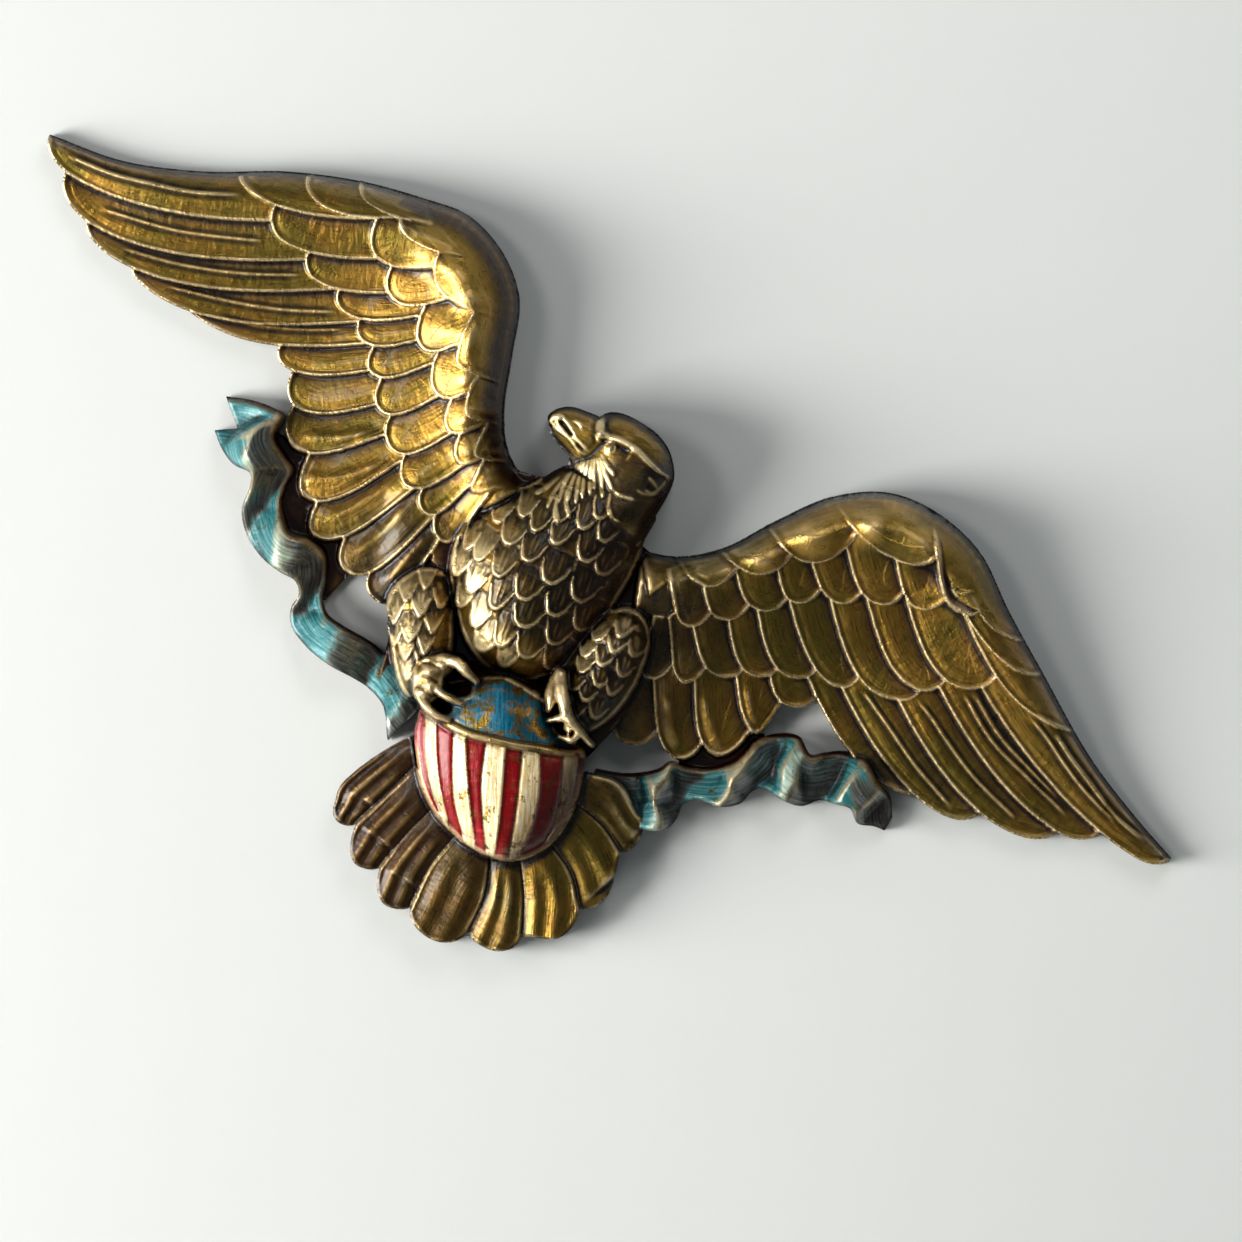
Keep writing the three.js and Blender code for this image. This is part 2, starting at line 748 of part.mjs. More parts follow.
const leftRibbon = {
  upper: [
    [-202, -38], [-190, -33], [-178, -30.5], [-170, -31], [-169, -43], [-161, -48], [-152, -52],
    [-151, -62], [-149, -70], [-143, -77], [-137, -81], [-127, -78.5], [-116, -81], [-109, -91],
    [-105, -102], [-99, -107], [-90, -108], [-70, -108], [-50, -113], [-33, -122],
  ],
  lower: [
    [-198, -56], [-190, -62], [-180, -66], [-170, -65.5], [-167, -71], [-165, -83], [-160, -90],
    [-152, -96], [-141, -100], [-130, -101], [-122, -101], [-117, -106], [-117, -114], [-112, -122],
    [-100, -127], [-85, -129], [-70, -128.5], [-61, -129], [-50, -133], [-39, -147],
  ],
  notch: [-188, -49],
  folds: [10, 14, 20, 26, 20, 14, 12, 16, 26, 26, 18, 12, 13, 20, 24, 19, 13, 18, 24, 22],
};
const rightRibbon = {
  upper: [
    [204, -47], [197, -38], [188, -35], [177, -29], [166, -30], [156, -37], [151, -41], [141, -36],
    [130, -41], [123, -50], [122, -57], [119, -65], [110, -74], [100, -79], [91, -81], [88, -87],
    [82, -93], [73, -99], [60, -104],
  ],
  lower: [
    [204, -55], [198, -56], [190, -59], [183, -54.5], [176, -56], [167, -59], [161, -66],
    [152, -68.5], [139, -68.5], [135, -73], [133, -81], [125, -88], [113, -91], [108, -97],
    [109, -104], [107, -112], [98, -118], [80, -120], [66, -122],
  ],
  folds: [10, 14, 22, 22, 13, 16, 26, 22, 15, 20, 27, 20, 13, 16, 26, 22, 14, 18, 22],
};
const RIBBON_SHARES = [0, 0.18, 0.5, 1];
const RIBBON_DROPS = [9, 0.5, 0, 1.5];
const RIBBON_LEAST = 6;
const RIBBON_STEPS = 22;
for (const { upper, lower, notch, folds } of [leftRibbon, rightRibbon]) {
  const top = smooth(upper, RIBBON_STEPS);
  const bottom = smooth(lower, RIBBON_STEPS);
  slab(
    top.map((p, k) =>
      RIBBON_SHARES.map((share, j) => {
        const middle = k === 0 && notch && j > 0 && share < 1;
        const place = middle ? notch : mixPoint(p, bottom[k], share).slice(0, 2);
        return [...place, Math.max(along(folds, k / RIBBON_STEPS) - RIBBON_DROPS[j], RIBBON_LEAST)];
      }),
    ),
  );
}

// Low ground that ties the forms together where no form stands, and the slope above the shield

const grounds = [
  {
    height: 5,
    outline: [
      [-170, -40], [-150, -40], [-110, -70], [-100, -82], [-104, -102], [-112, -100], [-125, -84],
      [-140, -84], [-152, -66], [-156, -50], [-168, -47],
    ],
  },
  { height: 5, outline: [[93, -76], [104, -58], [125, -44], [135, -56], [120, -86], [98, -84]] },
  { height: 9, outline: [[125, -4], [140, 6], [172, 8], [168, -8], [145, -10]] },
  {
    height: 14,
    outline: [
      [-78, -60], [-60, -50], [-20, -75], [-15, -100], [-30, -125], [-60, -122], [-66, -100],
      [-70, -88],
    ],
  },
  {
    height: 20,
    outline: [
      [10, 8], [30, 5], [45, 14], [54, 0], [58, -20], [60, -60], [57, -86], [53, -103], [22, -100],
      [4, -76],
    ],
  },
  { height: 37, outline: [[-51, 38], [-46, 41.5], [-36, 38], [-26, 37], [-25, 31], [-38, 33], [-50, 35]] },
  { height: 26, outline: [[-70, -16], [-60, 5], [-40, 10], [-40, -30], [-56, -60], [-68, -56]] },
];
for (const { height, outline } of grounds) plate(outline, height);

const SLOPE_FOOT = 22;
const slopeFoot = [[-31, -101], [-24, -91], [-12, -84], [-2, -80], [10, -79], [22, -81]];
const slopeHead = [[-27, -106], [-19, -99], [-10, -93], [0, -89], [10, -89], [20, -89]];
slab(
  slopeFoot.map((p, k) => [[...p, SLOPE_FOOT], [...slopeHead[k], domeHeight(shield, slopeHead[k]) - 0.5]]),
);

// Union, flat back, mesh

const whole = raw.reduce((sum, piece) => sum.add(piece));
const far = 1000;
const block = new THREE.BoxGeometry(far, far, far);
block.translate(0, far / 2, 0);
block.deleteAttribute('normal');
block.deleteAttribute('uv');
const behind = mergeVertices(block);
const cast = whole.subtract(
  new wasm.Manifold(
    new wasm.Mesh({
      numProp: 3,
      vertProperties: behind.attributes.position.array,
      triVerts: new Uint32Array(behind.index.array),
    }),
  ),
);

const { vertProperties, triVerts, numProp } = cast.getMesh();
const geometry = new THREE.BufferGeometry();
geometry.setAttribute(
  'position',
  new THREE.InterleavedBufferAttribute(new THREE.InterleavedBuffer(vertProperties, numProp), 3, 0),
);
geometry.setIndex(new THREE.BufferAttribute(triVerts, 1));
geometry.computeVertexNormals();

const plaque = new THREE.Mesh(
  geometry,
  new THREE.MeshStandardMaterial({ color: GOLD, roughness: 0.42, metalness: 0.85 }),
);
plaque.name = 'eagle_plaque';

const group = new THREE.Group();
group.add(plaque);
export default group;
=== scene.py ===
# %% [markdown]
# An eagle wall plaque is one metal casting: a low relief with a flat back, gilded, washed with dark
# brown and then rubbed so that the ridges shine. The whole front can be seen from the wall's own
# direction, so nothing on it hides behind anything else. That is what makes a height field fit:
# every place on a fine grid gets one height above the back. The forms are laid into the grid one
# after another, as a carver would add them, and the grid is then cut to the outline and lifted.

# %% Load the frame
import math

import bpy
import numpy as np
from mathutils import Matrix, Vector


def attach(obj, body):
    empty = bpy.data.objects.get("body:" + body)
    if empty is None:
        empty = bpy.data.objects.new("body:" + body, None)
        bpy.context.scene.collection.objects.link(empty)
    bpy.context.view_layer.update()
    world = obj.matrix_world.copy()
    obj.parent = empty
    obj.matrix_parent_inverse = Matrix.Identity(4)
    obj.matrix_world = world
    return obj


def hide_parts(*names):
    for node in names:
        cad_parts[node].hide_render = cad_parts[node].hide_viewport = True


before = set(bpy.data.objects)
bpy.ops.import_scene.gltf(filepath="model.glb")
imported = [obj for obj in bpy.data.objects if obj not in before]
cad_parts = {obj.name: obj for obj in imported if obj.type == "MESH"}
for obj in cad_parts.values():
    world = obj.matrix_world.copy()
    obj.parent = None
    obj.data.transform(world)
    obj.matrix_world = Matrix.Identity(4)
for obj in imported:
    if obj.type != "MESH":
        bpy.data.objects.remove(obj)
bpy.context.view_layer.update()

# %% [markdown]
# The grid is set in millimetres, in the plane of the wall: x to the right, z up. Heights count from
# the back towards the viewer. A pitch of about half a millimetre holds the beads along the feathers.

# %% The grid
PITCH = 0.55
BARE = -1000.0  # height where there is nothing
MM = 0.001
GRID_X = (-353.0, 343.0)
GRID_Z = (-227.0, 110.0)
columns, levels = np.arange(*GRID_X, PITCH), np.arange(*GRID_Z, PITCH)
X, Z = np.meshgrid(columns, levels)
print("grid places", X.shape)

# %% [markdown]
# The outlines of a carved thing are flowing lines through a few places. A centripetal
# Catmull-Rom curve goes through all of them without loops, which a plain spline might make.


# %% Lines
def mix(a, b, t):
    return a + (b - a) * t


def lengths(line):
    return np.concatenate([[0], np.cumsum(np.linalg.norm(np.diff(line, axis=0), axis=1))])


def stretch(line, count, start=0, end=math.inf):
    """count + 1 places at even distances along a line, or along a part of it."""
    reach = lengths(line)
    at = np.clip(np.linspace(start, min(end, reach[-1]), count + 1), 0, reach[-1])
    return np.stack([np.interp(at, reach, side) for side in line.T], axis=1)


def smooth(places, count, closed=False):
    """A flowing line of [x, z, height] through the places, with count + 1 even steps."""
    points = np.array([(*p, 0.0)[:3] for p in places], float)
    if closed:
        ring = np.vstack([points[-1], points, points[0], points[1]])
    else:
        ring = np.vstack([2 * points[0] - points[1], points, 2 * points[-1] - points[-2]])
    parts = []
    for p0, p1, p2, p3 in zip(ring, ring[1:], ring[2:], ring[3:]):
        d0, d1, d2 = (max(np.linalg.norm(b - a), 1e-4) ** 0.5 for a, b in ((p0, p1), (p1, p2), (p2, p3)))
        t1 = ((p1 - p0) / d0 - (p2 - p0) / (d0 + d1) + (p2 - p1) / d1) * d1
        t2 = ((p2 - p1) / d1 - (p3 - p1) / (d1 + d2) + (p3 - p2) / d2) * d1
        s = np.linspace(0, 1, 24, endpoint=False)[:, None]
        one, two = (2 * s**3 - 3 * s**2 + 1) * p1, (s**3 - 2 * s**2 + s) * t1
        parts.append(one + two + (3 * s**2 - 2 * s**3) * p2 + (s**3 - s**2) * t2)
    parts.append(points[:1] if closed else points[-1:])
    return stretch(np.vstack(parts), count)


def closed(places, count):
    return smooth(places, count, closed=True)[:-1]


# %% [markdown]
# Forms are described by distances: how far a place lies from an edge, a ridge or a spine. These
# helpers work on a window of the grid, so that a small feather costs little.


# %% Distances on the grid
def window(*lines, margin=3.0):
    """The part of the grid that holds some lines, with x and z of its places."""
    points = np.vstack([np.asarray(line, float)[:, :2] for line in lines])
    low, high = points.min(axis=0) - margin, points.max(axis=0) + margin
    ends = [np.searchsorted(axis, (low[k], high[k])) for axis, k in ((levels, 1), (columns, 0))]
    win = tuple(slice(first, last + 1) for first, last in ends)
    return win, X[win], Z[win]


def segments(line, x, z):
    """Each piece of a line: its number, the share along it, the distance to it and the side."""
    for k, ((ax, az), (bx, bz)) in enumerate(zip(line[:, :2], line[1:, :2])):
        sx, sz = bx - ax, bz - az
        t = np.clip(((x - ax) * sx + (z - az) * sz) / max(sx * sx + sz * sz, 1e-9), 0, 1)
        yield k, t, np.hypot(x - ax - t * sx, z - az - t * sz), sx * (z - az) - sz * (x - ax)


def off_line(line, x, z):
    """Distance to a line, its height at the nearest place, and the way and share along it."""
    line = np.asarray(line, float)
    reach = lengths(line[:, :2])
    carried = line[:, 2] if line.shape[1] > 2 else np.zeros(len(line))
    gap, height, way = np.full(x.shape, np.inf), np.zeros(x.shape), np.zeros(x.shape)
    for k, t, here, _ in segments(line, x, z):
        near = here < gap
        gap = np.where(near, here, gap)
        height = np.where(near, carried[k] + t * (carried[k + 1] - carried[k]), height)
        way = np.where(near, reach[k] + t * (reach[k + 1] - reach[k]), way)
    return gap, height, way, way / reach[-1]


def left_of(line, x, z):
    """True on the left hand of a line as it runs."""
    gap, side = np.full(x.shape, np.inf), np.zeros(x.shape)
    for _, _, here, turn in segments(line, x, z):
        near = here < gap - 1e-9
        gap, side = np.where(near, here, gap), np.where(near, turn, side)
    return side > 0


def round_line(places, count, margin=3.0):
    """A window round a flowing line, with what off_line says there."""
    line = smooth(places, count)
    win, x, z = window(line, margin=margin)
    return win, *off_line(line, x, z)


def between(one, other):
    """0 where the first distance is nothing, and 1 where the second is."""
    return one / (one + other + 1e-9)


def within(outline, x, z):
    """True inside a closed outline."""
    points = np.asarray(outline, float)[:, :2]
    found = np.zeros(x.shape, bool)
    for (ax, az), (bx, bz) in zip(points, np.roll(points, -1, axis=0)):
        if az != bz:
            found ^= ((az > z) != (bz > z)) & (x < (bx - ax) * (z - az) / (bz - az) + ax)
    return found


def to_outline(outline, x, z):
    return off_line(np.vstack([outline, outline[:1]])[:, :2], x, z)[0]


def signed(inside, *gaps):
    """The least of some distances, negative outside a form."""
    nearest = np.minimum.reduce(gaps)
    return np.where(inside, nearest, -nearest)


def inset_of(outline, x, z):
    """Distance inside a closed outline, negative outside it."""
    return signed(within(outline, x, z), to_outline(outline, x, z))


def room(outline, margin=3.0):
    """A window round an outline, with the distance inside it."""
    win, x, z = window(outline, margin=margin)
    return win, x, z, inset_of(outline, x, z)


def bump(distance, half_width):
    """A soft ridge round a line."""
    return np.exp(-((distance / half_width) ** 2))


def arch(off):
    """A round top: 1 in the middle, and 0 where off is 1 or more."""
    return np.sqrt(np.clip(1 - off**2, 0, 1))


def step(low, high, value):
    """0 below low, 1 above high, and an even slope with soft ends between them."""
    t = np.clip((value - low) / (high - low), 0, 1)
    return t * t * (3 - 2 * t)


def blur(field, radius):
    """Three passes of a running mean, which come close to a round brush."""
    reach = max(int(round(radius / PITCH)), 1)
    for axis in (0, 0, 0, 1, 1, 1):
        wide = [(reach + 1, reach) if k == axis else (0, 0) for k in (0, 1)]
        total = np.cumsum(np.pad(field, wide, mode="edge"), axis=axis)
        size = np.arange(field.shape[axis])
        high, low = (np.take(total, size + more, axis=axis) for more in (2 * reach + 1, 0))
        field = (high - low) / (2 * reach + 1)
    return field


def filled_in(rule, x, z, skip=4):
    """Works a rule out on part of the places and fills in the rest evenly."""
    rows, cols = (np.unique(np.append(np.arange(0, n, skip), n - 1)) for n in x.shape)
    part = rule(x[np.ix_(rows, cols)], z[np.ix_(rows, cols)])
    tall = np.stack([np.interp(np.arange(x.shape[0]), rows, line) for line in part.T], 1)
    return np.stack([np.interp(np.arange(x.shape[1]), cols, line) for line in tall])


# %% [markdown]
# A layer is one group of forms: heights, how far inside the outline each place is, the local
# direction of the feather or fold for brush marks, and how much of each paint lies there. Layers
# are then stacked, and at each place the highest one wins, as it does on the casting.

# %% Layers
# Some of these amounts are painted light: one is a painted shade and one a painted highlight. The pale gold
# and the cream are partly painted highlight, the mahogany brown is partly painted shade, and the ribbons'
# grey is painted shade.
PAINTS = ("blue", "red", "cream", "teal", "pewter", "pale", "bright", "shade", "mahogany")
FAR = 30.0  # a free edge or a hidden side that is nowhere near


class Layer:
    def __init__(self):
        self.height = np.full(X.shape, BARE)
        self.inset = np.full(X.shape, -50.0)
        self.grain = np.full((*X.shape, 4), FAR, np.float32)
        self.piece = np.zeros(X.shape, np.int8)
        self.paint = {name: np.zeros(X.shape, np.float32) for name in PAINTS}

    def lay(self, win, where, height, inset, grain=(), over=True, covers=PAINTS):
        """Puts a form down. With over it hides what is there, and otherwise the higher one wins."""
        taken = where if over else where & (height > self.height[win])
        self.height[win] = np.where(taken, height, self.height[win])
        self.inset[win] = np.maximum(self.inset[win], inset)
        if grain:
            flow = np.stack([*grain, *[np.full(taken.shape, FAR)] * (4 - len(grain))], axis=-1)
            self.grain[win] = np.where(taken[..., None], flow, self.grain[win])
        for name in covers:
            self.paint[name][win] = np.where(taken, 0, self.paint[name][win])

    def carve(self, win, change, where=True):
        height = self.height[win]
        self.height[win] = np.where(height > BARE / 2, height + np.where(where, change, 0), BARE)

    def dye(self, win, where=True, **amounts):
        for name, amount in amounts.items():
            self.paint[name][win] = np.maximum(self.paint[name][win], np.where(where, amount, 0))


def stack(base, layer, piece):
    """Joins a layer to the base: the higher of the two shows. piece says which part it goes to."""
    shows = layer.height > base.height
    base.piece[shows] = piece
    base.height[shows] = layer.height[shows]
    base.inset = np.maximum(base.inset, layer.inset)
    base.grain[shows] = layer.grain[shows]
    for name in PAINTS:
        base.paint[name][shows] = layer.paint[name][shows]


# %% [markdown]
# The wings repeat one rule. A row of feathers runs down from the leading edge; each feather's free
# end has a low point, its edge comes out from under its neighbour, goes round that point and runs
# back to the root. So a row needs only the feathers' low points, overlap, lean and length.

# %% Wing sizes
# A feather is x, z, overlap, lean in degrees and length. A shaft or a fold is a line, and a mound is
# x, z, half width, half height and swell.
left_wing = {
    "side": -1,
    "lead": [
        (-349, 31), (-310, 38.5), (-270, 56), (-235, 77), (-198, 93), (-165, 102), (-143, 106), (-118, 99),
        (-98, 83), (-87, 58), (-76, 31), (-64, 14), (-50, 6), (-38, 12),
    ],
    "crest": [
        (-342, 29, 9), (-285, 36, 17), (-235, 56, 25), (-195, 73, 31), (-160, 84, 37), (-133, 80, 41),
        (-114, 62, 42), (-99, 36, 41), (-80, 10, 40), (-52, -10, 41),
    ],
    "hem": [
        (-347, 28, 8), (-325, 17, 8), (-285, -7, 9), (-230, -11, 10), (-184, -10, 11), (-166, -25, 12),
        (-153, -44, 12), (-128, -76, 12), (-103, -84, 13), (-79, -88, 14), (-60, -60, 22),
    ],
    "arm_roots": [
        (-176, 92), (-160, 86), (-140, 80), (-125, 70), (-112, 62), (-110, 50), (-104, 42), (-94, 38),
        (-92, 25), (-84, 20), (-76, 10), (-66, 4), (-64, -8), (-58, -20),
    ],
    "rows": [
        {
            "first": (-349, 31), "lead_to": -240, "strength": 1.0,
            "feathers": [
                (-326, 18, 0, 18, 102), (-306, 2, -6, 21, 108), (-287, -7, -3, 21.5, 102),
                (-257, -12, 10, 23, 98), (-228, -11, 17, 24, 84), (-183, -9.5, 38, 29, 48),
                (-167, -24.5, 4, 33, 42), (-157, -43, -3, 39, 46), (-140, -62, 7, 51, 54),
                (-126, -77, 6, 55, 56), (-102, -84, 16, 63, 56), (-80, -88.5, 12, 74, 42),
            ],
        },
        {
            "first": (-254, 63), "lead_to": -205, "strength": 0.9,
            "feathers": [
                (-240, 58, 0, 20, 64), (-217, 45, 10, 20, 50), (-192, 36.5, 14, 22, 42),
                (-170, 30, 12, 29, 40), (-154, 22, 7, 34, 30), (-142, 10, 4, 41, 32), (-128, -4, 4, 46, 31),
                (-112, -18, 4, 48, 32), (-97, -30, 5, 51, 32), (-82, -37, 7, 62, 27), (-67, -45, 5, 72, 24),
            ],
        },
        {
            "first": (-224, 81), "lead_to": -180, "strength": 0.8, "crown": 1.6,
            "feathers": [
                (-208, 71, 0, 19, 30), (-168, 62, 28, 24, 29), (-151, 48, 5, 34, 28),
                (-126, 34.5, 15, 38, 18), (-106, 18, 7, 40, 16), (-92, 5, 5, 42, 14), (-80, -6, 4, 46, 14),
            ],
        },
        {
            "first": (-199, 93), "lead_to": -165, "strength": 0.75, "crown": 2.4,
            "feathers": [
                (-188, 84, 0, 8, 20), (-160, 79, 17, 8, 16), (-128, 63, 15, 6, 16), (-106, 36.5, 14, 4, 14),
                (-89, 17, 10, 12, 12), (-75, 1.5, 10, 15, 10), (-68, -15, 4, 30, 10),
            ],
        },
    ],
    "shafts": [
        [(-337, 26), (-310, 30), (-290, 36), (-270, 43), (-245, 56)],
        [(-309, 11), (-270, 21), (-250, 29), (-222, 42)], [(-290, -1), (-260, 7), (-230, 19), (-197, 37)],
        [(-260, -6), (-225, 5), (-200, 15), (-172, 30)], [(-228, -6), (-205, 2), (-185, 12), (-165, 24)],
    ],
    "folds": [
        [(-150, -57), (-128, -42), (-112, -22)], [(-127, -70), (-113, -48), (-104, -26)],
        [(-104, -78), (-97, -58), (-92, -36)], [(-82, -84), (-79, -62), (-76, -42)],
        [(-160, -37), (-140, -26), (-124, -12)],
    ],
    "mounds": [
        (-146, 73, 9, 7, 1.6), (-131, 76, 12, 7, 2.4), (-119, 68, 10, 8, 2.6), (-122, 49, 8, 7, 1.6),
        (-110, 52, 8, 11, 2.6), (-100, 34, 8, 9, 2.2), (-90, 16, 8, 8, 1.8), (-80, 2, 8, 8, 1.4),
    ],
    # How much painted shade lies along the arm's outer edge, how much red-brown that is partly painted
    # shade, and the box where painted shade lies near the body: far x, near x, high z, low z.
    "brown_edge": 0.95,
    "red_edge": 0.7,
    "dusk": (-135, -75, -22, -55),
}
right_wing = {
    "side": 1,
    "lead": [
        (338, 9), (310, 18), (275, 32), (231, 57), (200, 75), (172, 93), (143, 99), (116, 95), (92, 78),
        (74, 53), (58, 27), (40, 11), (22, 4),
    ],
    "crest": [
        (331, 8, 9), (280, 24, 17), (235, 46, 25), (200, 60, 31), (165, 77, 37), (138, 82, 41),
        (112, 76, 42), (90, 58, 41), (70, 32, 40), (40, -2, 38),
    ],
    "hem": [
        (336, 4, 8), (295, -6, 8), (262, -23, 9), (222, -33, 10), (192, -35, 10), (137, -16, 12),
        (126, -46, 12), (108, -68, 12), (92, -79, 13), (63, -85, 14), (52, -62, 20),
    ],
    "arm_roots": [
        (202, 72), (191, 69), (184, 66.5), (176, 65.5), (170, 68.5), (163, 73.5), (157, 78), (151, 82),
        (138, 76), (125, 74), (112, 74), (104, 66), (96, 56), (88, 52), (80, 42), (76, 34), (66, 27),
        (60, 20), (52, 10), (44, 0), (38, -14),
    ],
    "rows": [
        {
            "first": (338, 9), "lead_to": 245, "strength": 1.0,
            "feathers": [
                (322, -0.5, 0, 17, 124), (280, -10, 23, 19, 92), (253, -23, 0, 20, 82),
                (222, -33, 12, 21, 79), (192, -35, 16, 23, 68), (125, -26, 58, 38, 22),
                (122, -47, 0, 40, 34), (108, -67.5, 3, 45, 40), (92, -79, 7, 44, 44),
                (64, -85.5, 16, 68, 32),
            ],
        },
        {
            "first": (260, 39), "lead_to": 218, "strength": 0.9,
            "feathers": [
                (240, 35, 0, 23, 64), (193, 27, 29, 31, 48), (177, 15, 2, 32, 50), (163, 3, -6, 32.5, 52),
                (142, -5, 11, 32, 50), (118, -13, 11, 36, 36), (102, -22, 4, 38, 30), (86, -31.5, 3, 36, 26),
                (75, -43.5, 4, 42, 20), (58, -51, 10, 60, 18),
            ],
        },
        {"first": (231, 56), "lead_to": 190, "strength": 0.85, "feathers": [(217, 50, 0, 17, 36)]},
        {
            "first": (171, 70), "lead_to": None, "strength": 0.8, "crown": 1.6,
            "feathers": [
                (157, 51, 0, 34, 20), (136, 42, 8, 33, 26), (119, 32, 5, 30, 20), (101, 21, 7, 36, 17),
                (86, 8, 1, 34, 20), (73, -6, 1, 36, 18), (61, -18, 3, 36, 16),
            ],
        },
        {
            "first": (215, 66), "lead_to": 168, "strength": 0.8, "buried": 3.0,
            "feathers": [(200, 62, 0, 20, 18)],
        },
        {
            "first": (187, 66), "lead_to": None, "strength": 0.75, "crown": 3.0,
            "feathers": [
                (176, 60, 0, 40, 31), (129, 66, 29, 12, 26), (93, 41, 16, 14, 18), (73, 22, 3, 6, 14),
                (56, 4, 3, 14, 12),
            ],
        },
    ],
    "shafts": [
        [(251, 34), (265, 27), (280, 21), (300, 13), (322, 9)],
        [(236, 34), (250, 29), (265, 22), (280, 16), (307, 9)],
        [(200, 28), (215, 19), (230, 12), (250, 7), (284, -1)], [(205, 30), (230, 17), (250, 11), (273, 5)],
        [(182, 12), (195, 7), (210, 0), (230, -8), (263, -16)],
        [(155, 2), (180, -9), (200, -18), (230, -28)],
    ],
    "folds": [
        [(86, -42), (100, -54), (112, -64)], [(70, -52), (84, -66), (94, -76)],
        [(104, -28), (114, -38), (120, -46)],
    ],
    "mounds": [
        (145, 83, 17, 9, 2.2), (118, 73, 9, 11, 3.0), (95, 54, 12, 11, 3.0), (79, 32, 9, 9, 2.0),
        (66, 14, 8, 8, 1.0), (128, 88, 14, 7, 1.6),
    ],
    # Painted shade along the edge and near the body, as on the left wing.
    "brown_edge": 0.3,
    "red_edge": 0.0,
    "dusk": (110, 48, 20, -10),
}
for wing in (left_wing, right_wing):
    for name, count in (("lead", 60), ("crest", 40), ("hem", 40)):
        wing[name] = smooth(wing[name], count)
    print("rows of feathers", [len(row["feathers"]) for row in wing["rows"]])

# %% [markdown]
# Under the feathers lies one rounded surface: high along the arm, low at the free ends, and turned
# down at the leading edge. It comes from two distances. Working it out on every fourth place and
# filling in between is quick and also takes off the creases that such distances have.

# %% Wing surface
ARM_ROLL = 3.0
ARM_ROLL_HALF = 15.0
LEAD_LIP = 0.35
LEAD_ROUND = 0.5


def wing_surface(wing):
    lead, crest, hem = wing["lead"], wing["crest"], wing["hem"]
    win, x, z = window(lead, hem, margin=8)

    def rule(x, z):
        (high, top), (low, foot) = off_line(crest, x, z)[:2], off_line(hem, x, z)[:2]
        return mix(top, foot, between(high, low) ** 0.8)

    roll = ARM_ROLL * bump(off_line(crest, x, z)[0], ARM_ROLL_HALF)
    full = blur(filled_in(rule, x, z) + roll, 4.0)
    top = blur(filled_in(lambda x, z: off_line(crest, x, z)[1], x, z) + ARM_ROLL, 4.0)
    inset = np.clip(off_line(lead, x, z)[0] / (LEAD_ROUND * top), 0, 1)
    full = full * mix(LEAD_LIP, 1, arch(1 - inset))
    for at_x, at_z, wide, high, swell in wing["mounds"]:
        full += swell * bump(np.hypot((x - at_x) / wide, (z - at_z) / high), 0.8)
    surface = np.zeros(X.shape)
    surface[win] = full
    return surface


# %% [markdown]
# One feather's edge: a quarter of an ellipse round the tip, then a curve that leaves the low point
# level and turns up towards the root.

# %% Feather edges
CAP_STEPS = 9
SIDE_STEPS = 14
LAP = 1.5  # how far a feather reaches under its neighbour
ROOT_TURN = 12.0
BURIED = 15.0  # how far an edge runs on under the forms above it


def row_edges(wing, row):
    edges = []
    for x, z, lap, lean, reach in row["feathers"]:
        low = np.array([x, z], float)

        def back(degrees):
            turn = math.radians(degrees)
            return np.array([-wing["side"] * math.cos(turn), math.sin(turn)])

        root = low + back(lean) * reach
        hold = [low, low + back(0) * 0.3 * reach, root - back(lean + ROOT_TURN) * 0.35 * reach, root]
        start = np.array(row["first"], float)
        if edges:
            turn = edges[-1]["turn"] + lap
            start = stretch(edges[-1]["line"], 1, turn, turn + 1e-6)[0]
        a = np.linspace(0, math.pi / 2, CAP_STEPS + 1)[:-1, None]
        cap = np.hstack([mix(x, start[0], np.cos(a)), mix(start[1], z, np.sin(a))])
        s = np.linspace(0, 1, SIDE_STEPS + 1)[:, None]
        shares = ((1 - s) ** 3, 3 * s * (1 - s) ** 2, 3 * s**2 * (1 - s), s**3)
        side = sum(share * place for share, place in zip(shares, hold))
        buried = row.get("buried", BURIED) * np.array([1, 2, 3]) / 3
        line = np.vstack([cap, side, root + np.outer(buried, back(lean + ROOT_TURN))])
        turn = lengths(line[: CAP_STEPS + 1])[-1]
        edges.append({"line": line, "turn": turn, "lap": lap, "start": start, "low": low})
    return edges


def covered_side(wing, row, edges, i, count):
    """The hidden side of a feather: just under its neighbour, or the wing's own outline."""
    own, side, lead = edges[i], wing["side"], wing["lead"]
    if i:
        before = edges[i - 1]
        whole = lengths(before["line"])[-1]
        line = stretch(before["line"], count, min(before["turn"] + own["lap"], whole - LAP), whole)
        run = np.gradient(line, axis=0)
        run /= np.linalg.norm(run, axis=1, keepdims=True)
        return line + LAP * side * np.stack([run[:, 1], -run[:, 0]], axis=1)
    if row["lead_to"] is not None:
        inside = ((lead[:, 0] - row["first"][0]) * side < 0) & ((lead[:, 0] - row["lead_to"]) * side > 0)
        return stretch(np.vstack([[row["first"]], lead[inside][:, :2]]), count)
    moved = stretch(own["line"], count, own["turn"]) + [0, own["start"][1] - own["low"][1]]
    moved[0] = own["start"]
    return moved


# %% [markdown]
# Across a feather the casting shows a thin bead along the free edge, a shallow hollow behind it, a
# low crown, and then the slope that dips under the neighbour. The long feathers also have a raised
# shaft, and the broad ones near the body one soft fold.

# %% Feather relief
RIM = 0.9
TUCK = 1.9
BEAD, BEAD_IN, BEAD_HALF = 0.75, 0.8, 0.65
HOLLOW, HOLLOW_IN, HOLLOW_HALF = 0.55, 2.9, 1.7
CROWN = 0.8
